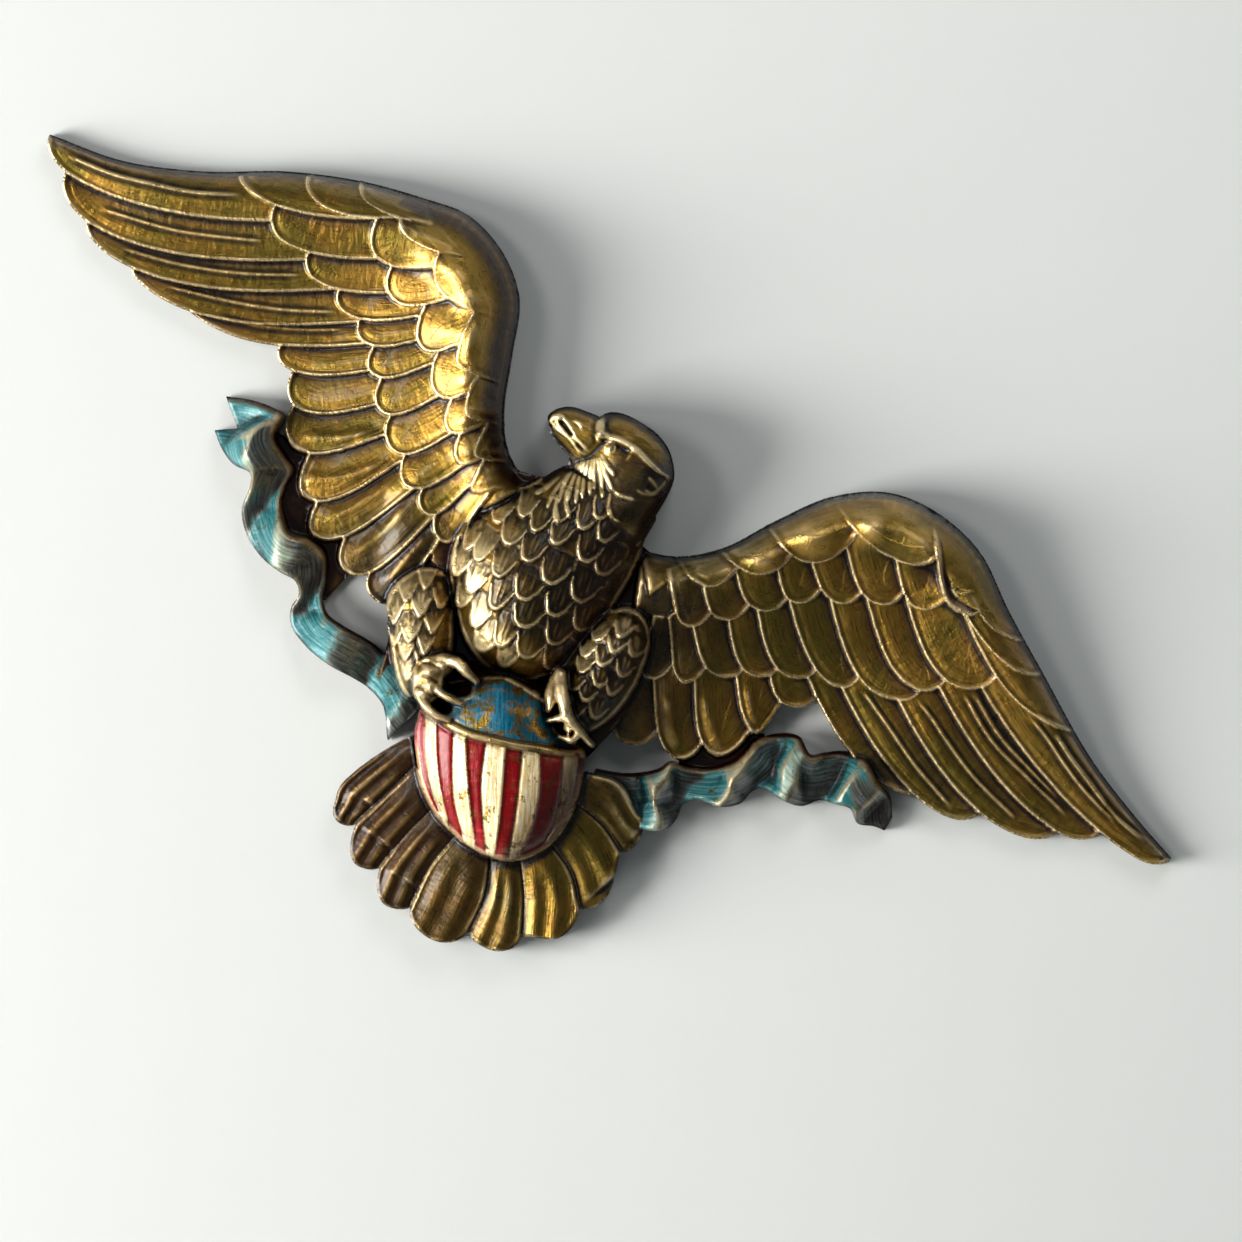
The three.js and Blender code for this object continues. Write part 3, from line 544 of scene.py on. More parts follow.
# SHAFT_DARK is how much painted shade lies beside each shaft.
SHAFT, SHAFT_HALF, SHAFT_TAPER, SHAFT_DARK = 1.1, 0.7, 0.12, 0.85
FOLD, FOLD_HALF = 1.5, 3.2
ARM_BLEND = 13.0
GROUND_DEPTH = 2.4
ARM_TROUGH = 1.1  # the deepest that covered feathers still show through the arm


def vane(own, across, strength, crown_rise):
    bead = BEAD * bump(own - BEAD_IN, BEAD_HALF)
    hollow = HOLLOW * bump(own - HOLLOW_IN, HOLLOW_HALF)
    crown = crown_rise * np.sin(math.pi * across**0.8)
    return strength * (bead - hollow + crown) + mix(RIM, -TUCK * strength, across)


def lay_feathers(layer, wing, surface):
    number = 0
    lead = wing["lead"][:, :2]
    below_lead = np.vstack([lead, lead[[-1, 0]] - [0, 400]])
    for row in wing["rows"]:
        edges = row_edges(wing, row)
        for i in range(len(edges) - 1, -1, -1):
            line = edges[i]["line"]
            hidden = covered_side(wing, row, edges, i, len(line) - 1)
            win, x, z = window(line, hidden)
            own, _, way, _ = off_line(line, x, z)
            other = off_line(hidden, x, z)[0]
            inside = within(np.vstack([line, hidden[::-1]]), x, z) & within(below_lead, x, z)
            relief = vane(own, between(own, other), row["strength"], row.get("crown", CROWN))
            number += 1
            flow = (way, own + 40.0 * number, own, other)
            layer.lay(win, inside, surface[win] + relief, signed(inside, own, other), flow)


def lay_lines(layer, lines, height, half, taper=0.25, dark=0.0):
    """Raised lines that die away at both ends. With dark, painted shade lies beside them and a painted
    highlight along them.
    """
    for places in lines:
        win, gap, _, _, share = round_line(places, 30)
        fade = step(0, taper, share) * step(0, taper, 1 - share)
        layer.carve(win, (height * bump(gap, half) - 0.5 * dark * bump(gap - 2.0, 1.0)) * fade)
        # Painted shade beside the line and a painted highlight along its top.
        if dark:
            layer.dye(win, shade=dark * bump(gap - 1.9, 1.2) * fade, bright=0.6 * bump(gap, 0.7) * fade)


def lay_arm(layer, wing, surface):
    """The smooth arm over the roots of the feathers."""
    lead = wing["lead"]
    outer = lead[(lead[:, 0] - wing["arm_roots"][0][0]) * wing["side"] <= 0][:, :2]
    inner = smooth(wing["arm_roots"], 60)[:, :2]
    arm = np.vstack([outer, inner[::-1]])
    win, x, z = window(arm)
    inside = within(arm, x, z)
    edge, _, run, _ = off_line(outer, x, z)
    gap = off_line(inner, x, z)[0]
    under = np.maximum(layer.height[win], surface[win] - ARM_TROUGH)
    height = mix(under, surface[win], step(0, ARM_BLEND, gap))
    layer.lay(win, inside, height, signed(inside, edge, gap), (run, edge))
    # Painted shade along the outer edge, on the left wing also a red-brown that is partly painted shade, and
    # a painted highlight further in.
    brown, red = wing["brown_edge"] * step(17, 5, edge), wing["red_edge"] * step(15, 4, edge)
    layer.dye(win, inside, shade=brown, mahogany=red, bright=0.4 * step(4, 12, edge))


def lay_wing(wing):
    layer = Layer()
    surface = wing_surface(wing)
    lead, hem = wing["lead"][:, :2], wing["hem"][:, :2]
    outer, inner = stretch(lead, 40), stretch(hem, 40)
    ground = np.vstack([mix(outer, inner, 0.02), mix(outer, inner, 0.82)[::-1]])
    win, _, _, inset = room(ground)
    layer.lay(win, inset > 0, surface[win] - GROUND_DEPTH, inset)
    lay_feathers(layer, wing, surface)
    lay_lines(layer, wing["shafts"], SHAFT, SHAFT_HALF, SHAFT_TAPER, SHAFT_DARK)
    lay_lines(layer, wing["folds"], FOLD, FOLD_HALF)
    lay_arm(layer, wing, surface)
    win, x, z = window(lead)
    # A painted highlight on each mound of the arm.
    for at_x, at_z, wide, high, swell in wing["mounds"]:
        off = np.hypot((x - at_x) / wide, (z - at_z) / high)
        layer.dye(win, bright=0.32 * swell * step(1.15, 0.35, off))
    # Painted shade on the part of the wing near the body.
    win, x, z = window(lead, hem)
    far_x, near_x, high, low = wing["dusk"]
    layer.dye(win, shade=0.8 * step(far_x, near_x, x) * step(high, low, z))
    return layer


LEFT_WING, RIGHT_WING, TRUNK, SHIELD, TAIL, LEFT_RIBBON, RIGHT_RIBBON = range(7)
casting = Layer()
stack(casting, lay_wing(left_wing), LEFT_WING)
stack(casting, lay_wing(right_wing), RIGHT_WING)
print("highest place on the wings", round(float(casting.height.max()), 1))

# %% [markdown]
# Body, thighs, head and shield are domes. Each has an outline, a spine that carries the height of
# the crown, and a lip that stands up from the back. How far a place lies between outline and spine
# gives its height on a quarter circle.


# %% Domes
def lay_dome(layer, form, soften=2.0, grain=(1.0, 0.0)):
    outline, spine, lip = form
    win, x, z, inset = room(outline, margin=10)

    def share_of(x, z):
        return between(to_outline(outline, x, z), off_line(spine, x, z)[0])

    share = np.clip(blur(filled_in(share_of, x, z, 3), soften), 0, 1)
    top = blur(filled_in(lambda x, z: off_line(spine, x, z)[1], x, z, 3), soften)
    flow = (x * grain[0] + z * grain[1], x * grain[1] - z * grain[0])
    layer.lay(win, inset > -1, lip + (top - lip) * arch(1 - share), inset, flow)
    return win, x, z, inset


body = (
    closed([
        (-30, 24), (-44, 2), (-54, -10), (-60, -25), (-61, -40), (-56, -55), (-45, -68), (-33, -80),
        (-18, -87), (-2, -86), (10, -80), (18, -68), (23, -50), (24, -10), (21, 10), (19, 25),
    ], 60),
    [(-5, 30, 48), (-12, -5, 56), (-18, -40, 60), (-12, -65, 54)],
    22,
)
right_thigh = (
    closed([
        (20, -45), (24, -33), (32, -25), (42, -26), (50, -35), (54, -50), (55, -65), (52, -80), (45, -92),
        (34, -95), (26, -85), (20, -70),
    ], 50),
    [(36, -45, 52), (34, -75, 46)],
    22,
)
left_thigh = (
    closed([
        (-74, -70), (-66, -60), (-56, -59), (-48, -66), (-42, -77), (-35, -90), (-31, -105), (-33, -117),
        (-42, -121), (-52, -115), (-62, -104), (-70, -94), (-76, -83),
    ], 50),
    [(-62, -78, 44), (-42, -108, 46)],
    20,
)
head_form = (
    closed([
        (-31, 45), (-31, 52), (-27, 57), (-20, 59.5), (-10, 60), (0, 59), (8, 55.5), (14, 50), (18, 44),
        (19.5, 35), (19.5, 20), (19, 5), (5, 0), (-10, 5), (-25, 15), (-34, 26), (-31, 33),
    ], 60),
    [(-12, 44, 50), (5, 30, 52), (2, 12, 52)],
    26,
)
beak_form = (
    closed([
        (-24, 50), (-31, 51.5), (-38, 50.5), (-45, 49), (-50, 46), (-53, 42), (-54, 38), (-52, 35.5),
        (-48, 31), (-43, 29), (-36, 27), (-26, 26), (-20, 38),
    ], 60),
    [(-26, 42, 48), (-38, 41, 46.5), (-50, 40, 43)],
    32,
)
shield_form = (
    closed([
        (-33, -120), (-29, -107), (-22, -98), (-14, -95), (-3, -87.5), (8, -87), (19, -87), (28, -95),
        (36, -99), (50, -99.5), (57, -115), (61, -132), (60, -147), (55, -158), (47, -166), (38, -169.5),
        (25, -171), (12, -169), (0, -165), (-12, -157), (-22, -146), (-30, -134),
    ], 90),
    [(5, -105, 58), (24, -138, 53), (42, -166, 46)],
    30,
)
grip_form = (
    closed([
        (-45, -105), (-40, -97), (-34, -94), (-29, -97), (-31, -103), (-29, -109), (-28, -113), (-30, -118),
        (-31, -121), (-38, -119),
    ], 40),
    [(-36, -99, 57), (-35, -108, 57), (-34, -116, 56)],
    44,
)
domes = (body, right_thigh, left_thigh, head_form, beak_form, shield_form, grip_form)
print("places round each dome", [len(outline) for outline, _, _ in domes])

# %% [markdown]
# Breast and thighs are covered with scales. They hang like roof tiles, so they are laid from the
# lowest row up. A scale has a bead round its free end and a crease down its middle.

# %% Scales
SCALE_BEAD = 0.8
SCALE_TILT = 3.6
SCALE_CREASE = 0.5


def lay_scale(layer, base, place, width, length, lean, number, blunt, pale=0.0):
    turn = math.radians(lean)
    across_way = np.array([math.cos(turn), math.sin(turn)])
    up_way = np.array([-math.sin(turn), math.cos(turn)])
    a = np.linspace(-math.pi / 2, math.pi / 2, 25)
    ragged = 1 + 0.05 * np.sin(9 * a + number) + 0.03 * np.sin(17 * a + 2 * number)
    rim = (
        np.array(place, float)
        + np.outer(width / 2 * np.sin(a) * ragged, across_way)
        + np.outer(length * 0.5 * np.abs(np.sin(a)) ** blunt * ragged, up_way)
    )
    outline = np.vstack([rim, rim[[-1, 0]] + up_way * length * 0.35])
    win, x, z = window(outline)
    inside = within(outline, x, z)
    gap = off_line(rim, x, z)[0]
    up = (x - place[0]) * up_way[0] + (z - place[1]) * up_way[1]
    aside = (x - place[0]) * across_way[0] + (z - place[1]) * across_way[1]
    share = np.clip(up / length, 0, 1)
    relief = (
        SCALE_BEAD * bump(gap - 0.7, 0.6)
        - 0.4 * bump(gap - 2.3, 1.2)
        + 0.8 * bump(aside, width * 0.34)
        - SCALE_CREASE * bump(aside, 0.45) * step(0.15, 0.3, share)
        + 0.22 * np.sin(aside * 2.6 + up * 0.35 + number) * step(1.0, 4.0, gap)
        + mix(1.5, 1.5 - SCALE_TILT, share)
    )
    shows = inside & (base[win] > BARE / 2)
    flow = (up, aside + 30.0 * number, gap)
    layer.lay(win, shows, base[win] + relief, signed(inside, gap), flow)
    # Pale gold towards the free end, partly rubbed and partly a painted highlight, and painted shade at the
    # root, under the scale above.
    rubbed_end = mix(0.45, 1.0, step(0.6, 0.05, share)) * step(0.2, 1.0, gap + 0.4)
    dark = (0.9 - 0.35 * pale) * step(0.25, 0.6, share)
    layer.dye(win, shows, pale=pale * rubbed_end, shade=dark)


def scaled(form, grain, scales, length, lean, blunt):
    """A dome with scales. Each is its lowest place, its width and how much pale gold it has, partly wear and
    partly a painted highlight.
    """
    layer = Layer()
    win, x, z, _ = lay_dome(layer, form, grain=grain)
    base = layer.height.copy()
    for number, (at_x, at_z, width, *pale) in enumerate(sorted(scales, key=lambda scale: scale[1])):
        lay_scale(layer, base, (at_x, at_z), width, length, lean, number + 100, blunt, *pale)
    print("scales", len(scales))
    return layer, win, x, z


# %% [markdown]
# The middle of the breast and the right sides of the breast and of the right thigh get painted shade, the
# right sides as they turn away from the light, with dark brown over them. The left thigh is the brightest of
# the three, its pale gold partly a painted highlight.

# %% Breast and thighs
breast = [
    (4, 10, 15), (-5, 6, 13), (-9.5, -3, 13), (3, -3, 13), (-22, -6, 12, 0.3), (0, -16.5, 15), (11, -18, 14),
    (-17, -16.5, 13), (-29.5, -16, 12, 0.1), (-39, -13, 11, 0.4), (-49, -22, 12, 0.6), (-38, -29, 14, 0.3),
    (-25, -31.5, 14), (-9.5, -35.5, 16), (8, -35.5, 16), (-34, -46, 13, 0.5), (-17, -49.5, 16),
    (0.5, -48.5, 15), (16, -48, 14), (-27, -61, 13, 0.4), (-10, -61.5, 17), (8, -61, 15), (-1, -74.5, 16),
    (13, -73, 13), (-15, -76, 13, 0.3), (-31, -74, 12, 1.0), (-42, -60, 12, 1.0), (-43, -69, 11, 0.8),
    (-53, -56, 11, 1.0), (-47, -44, 11, 1.0), (-55, -42, 9, 0.7), (-22, -83, 15, 1.0), (-8, -84, 13, 0.5),
]
right_scales = [
    (36, -40, 11), (47, -45, 11), (26, -48, 10, 0.6), (37, -49, 11), (47, -57, 11), (35, -58, 11),
    (25, -58, 10, 0.8), (28, -66, 10, 0.4), (39, -68, 11), (47, -68, 10), (37, -78, 11), (29, -76, 10),
    (46, -83, 11), (36, -88, 11),
]
left_scales = [
    (-62, -70, 10, 1.0), (-50, -75, 10), (-67, -81, 11, 1.0), (-57, -84, 11, 0.9), (-47, -88, 10, 0.4),
    (-67, -94, 10, 0.9), (-55, -98, 12, 1.0), (-45, -99, 10, 0.5), (-61, -103, 9, 0.9), (-52, -107, 10, 0.9),
    (-42, -107, 9, 0.3), (-46, -115, 10, 0.8), (-38, -118, 10, 0.5),
]
trunk, win, x, z = scaled(body, (0.0, 1.0), breast, 22.0, 6, 2.8)
# Painted shade over the middle of the breast and its right side, which turns away from the light, with dark
# brown over the right side as painted shade too.
middle = 0.8 * step(-44, -26, x) * step(-70, -54, z)
trunk.dye(win, shade=np.minimum(middle + 0.5 * step(-8, 8, x), 1), mahogany=0.75 * step(-4, 16, x))
stack(casting, trunk, TRUNK)
legs, win, x, z = scaled(right_thigh, (0.0, 1.0), right_scales, 15.0, 10, 2.4)
# Painted shade and dark brown on the right thigh's right side, which turns away from the light.
legs.dye(win, shade=0.85 * step(22, 34, x), mahogany=0.5 * step(32, 50, x))
stack(casting, legs, TRUNK)
stack(casting, scaled(left_thigh, (0.5, 0.86), left_scales, 20.0, 26, 1.7)[0], TRUNK)

# %% [markdown]
# Head and beak. The brow is a bar over the eye, the mouth two grooves with the edge of the bill
# between them, and short lines mark nostril, cheek and crown.

# %% Head
# Each line has its places, its rise (a groove's is negative), its half width and how pale it is.
head_lines = [
    ([(-47.5, 39.5), (-44, 38.3), (-40, 36.6), (-37, 35.8)], -3.4, 1.0, 0.0),
    ([(-34, 33.6), (-31, 32.8), (-28.5, 32.2)], -2.4, 0.7, 0.0),
    ([(-47, 41.2), (-42, 39.2), (-38, 36.8), (-33, 35), (-27.5, 33.4)], 1.3, 0.7, 0.9),
    ([(-49, 38), (-45, 36.4), (-40, 35.4), (-36, 35.6)], 1.0, 0.55, 0.8),
    ([(-50, 35), (-43, 34.6), (-38, 33.8), (-33, 31.9), (-28, 31)], 1.3, 0.75, 0.9),
    ([(-47, 41.3), (-50, 40.3), (-51.6, 38.4), (-51.4, 36.2), (-49.6, 35)], 1.4, 1.3, 1.0),
    ([(-41, 43), (-38, 43), (-35.6, 41.2)], 0.8, 0.6, 0.8),
    ([(-40.5, 42), (-38, 42), (-36.4, 40.6)], -1.0, 0.6, 0.0),
    ([(-31.5, 53), (-31, 46), (-27.5, 41.5), (-26, 39), (-27, 34), (-30, 28)], -1.1, 1.0, 0.0),
    ([(-28.5, 43.5), (-26, 41.2), (-22, 40.3)], 0.9, 0.7, 0.5),
    ([(-8, 24), (-5, 22.5), (1, 22.5), (7, 24.5)], 1.0, 0.8, 0.5),
    ([(-7, 22), (-1, 20.5), (6, 22.5)], -0.9, 0.9, 0.0), ([(15, 44), (14.5, 36), (12, 30)], 0.9, 0.8, 0.3),
    ([(13.5, 35), (10, 36.5), (6, 38)], 0.6, 0.9, 0.2), ([(8, 31), (12, 31.5), (15, 33)], 0.6, 0.6, 0.3),
    ([(4, 29), (8, 29), (13, 31)], 0.5, 0.6, 0.2), ([(-12, 53), (-4, 53.5), (4, 51.5)], 0.4, 0.9, 0.0),
    ([(0, 55), (6, 53), (12, 50)], 0.5, 0.7, 0.1), ([(-16, 49), (-8, 50.5), (2, 49)], 0.4, 1.0, 0.0),
]
brow = [(-26, 44), (-22, 44.8), (-17, 46), (-11, 46.6), (-5, 46.3), (2, 44.5), (9, 43.2), (15, 43)]
EYE = (-18.2, 40.6)
EYEBALL, LID = 1.9, 2.7


def lay_bar(layer, places, half, rise, taper=1.0, own=False):
    """A rounded bar along a line. With own the line carries its heights, or else it lies on top."""
    win, gap, height, way, share = round_line(places, 40, margin=half + 2)
    width = half * mix(1, taper, np.clip(2 * share - 1, 0, 1))
    top = arch(gap / width)
    if own:
        layer.lay(win, gap < width, height - rise * (1 - top), width - gap, (way, gap), over=False)
    else:
        layer.carve(win, rise * top)
    return win, gap, width


head, beak = Layer(), Layer()
lay_dome(beak, beak_form, 1.2)
win, x, z, _ = lay_dome(head, head_form, grain=(1.0, 0.3))
# Painted shade below the brow and over the right half of the head, and dark brown over the nape, also as
# painted shade.
cheek = 0.75 * step(-18, -8, x) * step(48, 42, z)
head.dye(win, shade=np.minimum(cheek + 0.8 * step(0, 15, x), 1), mahogany=0.7 * step(6, 20, x))
stack(head, beak, TRUNK)
for places, rise, half, pale in head_lines:
    win, gap, _, _, share = round_line(places, 24)
    head.carve(win, rise * bump(gap, half) * step(0, 0.12, share) * step(0, 0.2, 1 - share))
    head.dye(win, pale=pale * step(half * 1.3, half * 0.6, gap))
win, x, z = window([EYE], margin=9)
off = np.hypot(x - EYE[0], z - EYE[1])
socket = -2.6 * bump(np.hypot((x + 13) / 2.2, z - 43), 3.0)
head.carve(win, socket + 1.1 * bump(off - LID, 0.55) + 1.8 * arch(off / EYEBALL))
head.dye(win, pale=0.9 * bump(off - LID, 0.6))
win, gap, width = lay_bar(head, brow, 1.9, 2.3, 0.4)
head.dye(win, pale=0.8 * step(0.0, 1.0, width * 0.6 - gap))
win, gap, width = lay_bar(head, [(-29, 50), (-27.5, 47), (-24.5, 44.8)], 3.2, 1.6, 0.9)
head.dye(win, pale=0.9 * step(0, 2.0, width - gap))
stack(casting, head, TRUNK)
print("lines on the head", len(head_lines))

# %% [markdown]
# The strands of the throat are thin leaves, laid like the scales from the lowest up. They carry the most
# pale gold of the whole plaque, partly wear and partly a painted highlight, and painted shade lies in the
# gaps between them.

# %% Throat strands
strands = [
    [(-20, 35), (-14, 31.5), (-9, 29.5)], [(-20, 33), (-13, 27.5), (-6, 22.5)],
    [(-21, 32), (-15.5, 26.5), (-11, 21)], [(-22, 31), (-18, 24), (-14, 18)],
    [(-23, 30), (-19.5, 22.5), (-14.5, 14.5)], [(-24.5, 29), (-21.5, 20), (-17, 11)],
    [(-26, 28), (-23.5, 18), (-18.5, 7)], [(-27, 27), (-26, 16), (-22.5, 6)],
    [(-28.5, 25), (-29, 14), (-26.5, 3)], [(-27, 12), (-23, 5), (-17, -1)], [(-29, 6), (-26, 0), (-21, -6)],
    [(-16, 26), (-12, 21), (-8, 17)], [(-6, 20), (-3, 14), (1, 10)], [(-30, 18), (-31, 8), (-30, -2)],
    [(-33, 14), (-36, 6), (-39, 1)],
]
STRAND_HALF = 1.5
win, x, z = window([(-23, 31)], margin=34)
# Painted shade over the throat; each strand clears it where it lies, so it stays in the gaps.
fan = step(34, 12, np.hypot((x + 24) * 1.3, z - 26)) * step(34, 28, z) * step(-31, -27, x)
casting.dye(win, shade=0.85 * fan)
base = casting.height.copy()
for number, places in enumerate(reversed(strands)):
    win, gap, _, way, share = round_line(places, 24)
    width = STRAND_HALF * (0.55 + 0.6 * share) * np.sqrt(np.clip(1 - share**6, 0.02, 1))
    inside = gap < width
    rise = (0.7 + 1.7 * share) * (0.2 + 0.8 * arch(gap / width)) - 0.5 * bump(gap, 0.35) * share
    flow = (way, gap + 9 * number)
    casting.lay(win, inside, base[win] + rise, casting.inset[win], flow, covers=("shade",))
    casting.dye(win, inside, pale=(1.0 if number > 3 else 0.5) * step(width, 0.4 * width, gap))
print("throat strands", len(strands))

# %% [markdown]
# The shield is a barrel: its stripes are pleats, each light one rising to its right-hand edge. A
# place's stripe is the number of boundary lines to its left, so the paint needs no outlines.

# %% Shield
stripe_lines = [
    [(-27, -128), (-18, -143), (-6, -157), (2, -163.5)], [(-21, -127), (-13, -140), (-3, -153), (8, -165)],
    [(-11.5, -126), (-3, -141), (7, -156), (19, -168)], [(-5, -124.5), (4, -138), (14, -152), (24, -165)],
    [(5, -121), (13, -139), (22, -153), (33, -168)], [(15, -118), (25, -138), (33, -155), (38, -168)],
    [(23, -115), (33, -136), (41, -155), (45, -166)], [(31, -111), (41, -128), (47, -145), (49, -161)],
    [(42, -106), (51, -124), (56, -140), (57, -150)], [(48.5, -101.5), (55, -117), (59, -134), (58, -147)],
]
band_line = [(-35, -121), (-20, -123), (-5, -122), (5, -119), (18, -115), (30, -110), (42, -105), (50, -100)]
chief_outline = [
    (-29, -104), (-24, -98), (-14, -95.5), (-8, -92), (-2, -88.5), (18, -88.5), (24, -92), (27, -95),
    (30, -98), (36, -100), (46, -101), (36, -105), (28, -108), (18, -112), (8, -115.5), (-4, -119),
    (-20, -120), (-32, -118),
]
PLEAT = 1.5
BAND_HALF = 2.1
shield = Layer()
win, x, z, inset = lay_dome(shield, shield_form, 1.5, grain=(0.5, -0.86))
borders = [smooth(line, 20) for line in stripe_lines]
stripe = sum(left_of(line, x, z).astype(int) for line in borders)
gaps = [off_line(line, x, z)[0] for line in borders]
band = smooth(band_line, 40)
below = ~left_of(band, x, z)
gap_band = off_line(band, x, z)[0]
striped = below & (gap_band > 1.8) & (inset > 0)
pleat = np.zeros(x.shape)
for k in range(1, 10, 2):
    left, right = gaps[k - 1], gaps[k]
    pleat = np.where(stripe == k, PLEAT * (1.15 * between(left, right) - 0.25), pleat)
    pleat += np.where(striped, 0.6 * bump(right, 0.8) - 1.0 * bump(left, 0.7), 0)
shield.carve(win, pleat, striped)
shield.carve(win, 1.5 * arch(gap_band / BAND_HALF))
shield.carve(win, -0.7 * bump(gap_band - 2.9, 0.7))
shield.carve(win, 0.8 * bump(inset - 1.2, 0.9) - 0.5 * bump(inset - 3.2, 0.9), below)
soft = np.clip(gap_band - 1.6, 0, 1)
shield.dye(win, striped & (stripe % 2 == 0), red=soft)
shield.dye(win, striped & (stripe % 2 == 1), cream=soft)
# Painted shade and dark brown, also as painted shade, over the right side of the shield, which turns away
# from the light.
shield.dye(win, inset > 0, mahogany=step(26, 58, x), shade=0.75 * step(32, 60, x))
shield.dye(win, blue=step(0.0, 1.0, inset_of(chief_outline, x, z)) * (gap_band > 2.0))
rim = off_line([(-3, -87.8), (8, -87.6), (19.5, -88)], x, z)[0]
shield.carve(win, 0.7 * bump(rim, 0.9))
shield.dye(win, cream=step(0.3, 1.0, bump(rim, 1.1)))
stack(casting, shield, SHIELD)
print("stripes", len(stripe_lines) + 1)

# %% [markdown]
# The tail fans out under the shield. Each feather runs between two lines and ends in a round tip, with its
# shaft down the middle. The feathers on the left get the most painted shade and dark brown, which is painted
# shade too.

# %% Tail
tail_lines = [
    [(-30, -138), (-38, -152), (-45, -168), (-48, -180), (-46, -188)],
    [(-20, -150), (-25, -170), (-31, -191)], [(0, -160), (-6, -183), (-9, -204)],
    [(17, -165), (13, -190), (15, -213)], [(35, -166), (45, -190), (47, -209)],
    [(48, -160), (62, -179), (72, -198)], [(55, -147), (76, -156), (90, -170)],
    [(57, -124), (78, -127), (93, -134)], [(56, -108), (75, -104), (91, -113)],
]
tail_tips = [(-38, -196), (-19, -210), (5, -220), (31, -223), (61, -212), (84, -192), (98, -150), (98, -123)]
# How much painted shade and how much dark brown, also as painted shade, each tail feather gets, from the
# left.
TAIL_SHADE = (0.8, 0.75, 0.7, 0.5, 0.3, 0.05, 0.1, 0.4)
TAIL_MAHOGANY = (0.5, 0.55, 0.5, 0.3, 0.1, 0.0, 0.0, 0.1)
TAIL_ROOT = 24.0
TAIL_TIP = 14.0
TAIL_RIDGE = 2.6
tail = Layer()
for i, tip in enumerate(tail_tips):
    sides = [smooth(line, 20)[:, :2] for line in tail_lines[i : i + 2]]
    heading = tip - (sides[0][-1] + sides[1][-1]) / 2
    heading /= np.linalg.norm(heading)
    rounded = []
    for side in sides:
        a = np.linspace(0, math.pi / 2, 9)[1:, None]
        ahead = (tip - side[-1]) @ heading
        aside = tip - side[-1] - ahead * heading
        rounded.append(np.vstack([side, side[-1] + heading * ahead * np.sin(a) + aside * (1 - np.cos(a))]))
    outline = np.vstack([rounded[0], rounded[1][::-1]])
    win, x, z = window(outline)
    first = off_line(rounded[0], x, z)[0]
    nearest = np.minimum(first, off_line(rounded[1], x, z)[0])
    longer = [np.vstack([side, side[-1] + 40 * heading]) for side in sides]
    (one, _, way, _), (two, *_) = (off_line(line, x, z) for line in longer)
    inside = within(outline, x, z)
    across = between(one, two)
    share = np.clip(way / lengths(rounded[0])[-1], 0, 1)
    relief = (
        TAIL_RIDGE * (1 - np.abs(2 * across - 1) ** 1.8) * (1 - 0.45 * share**3)
        + 0.7 * np.cos(across * 5 * math.pi + 0.6 * i) * step(0.1, 0.4, share) * step(1.0, 0.8, share)
        + 0.6 * bump(nearest - 0.8, 0.6)
        - 0.8 * bump(nearest, 0.5)
    )
    height = mix(TAIL_ROOT, TAIL_TIP, share) + (i % 2) * 0.8 + relief
    flow = (way, one + 40.0 * i, np.where(share > 0.75, nearest, first))
    tail.lay(win, inside, height, signed(inside, nearest), flow)
    tail.dye(win, inside, shade=TAIL_SHADE[i], mahogany=TAIL_MAHOGANY[i])
stack(casting, tail, TAIL)
print("tail feathers", len(tail_tips))

# %% [markdown]
# The ribbons are bands that wave towards the wall and away from it. Height follows the way along the band,
# and the upper edge rolls back. Their blue-green lies on the faces that turn towards the light and grey, a
# painted shade, on those that turn away; the troughs that turn away get more painted shade, the upper edge a
# dark brown that is partly painted shade, and the crests towards the light a little cream as a painted
# highlight.

# %% Ribbons
left_upper = [
    (-202, -38), (-190, -33), (-178, -30.5), (-170, -31), (-169, -43), (-161, -48), (-152, -52), (-151, -62),
    (-149, -70), (-143, -77), (-137, -81), (-127, -78.5), (-116, -81), (-109, -91), (-105, -102),
    (-99, -107), (-90, -108), (-70, -108), (-50, -113), (-33, -122),
]
left_lower = [
    (-198, -56), (-190, -62), (-180, -66), (-170, -65.5), (-167, -71), (-165, -83), (-160, -90), (-152, -96),
    (-141, -100), (-130, -101), (-122, -101), (-117, -106), (-117, -114), (-112, -122), (-100, -127),
    (-85, -129), (-70, -128.5), (-61, -129), (-50, -133), (-39, -147),
]
left_folds = [10, 14, 20, 26, 20, 14, 12, 16, 26, 26, 18, 12, 13, 20, 24, 19, 13, 18, 24, 22]
right_upper = [
    (204, -47), (197, -38), (188, -35), (177, -29), (166, -30), (156, -37), (151, -41), (141, -36),
    (130, -41), (123, -50), (122, -57), (119, -65), (110, -74), (100, -79), (91, -81), (88, -87), (82, -93),
    (73, -99), (60, -104),
]
right_lower = [
    (204, -55), (198, -56), (190, -59), (183, -54.5), (176, -56), (167, -59), (161, -66), (152, -68.5),
    (139, -68.5), (135, -73), (133, -81), (125, -88), (113, -91), (108, -97), (109, -104), (107, -112),
    (98, -118), (80, -120), (66, -122),
]
right_folds = [10, 14, 22, 22, 13, 16, 26, 22, 15, 20, 27, 20, 13, 16, 26, 22, 14, 18, 22]


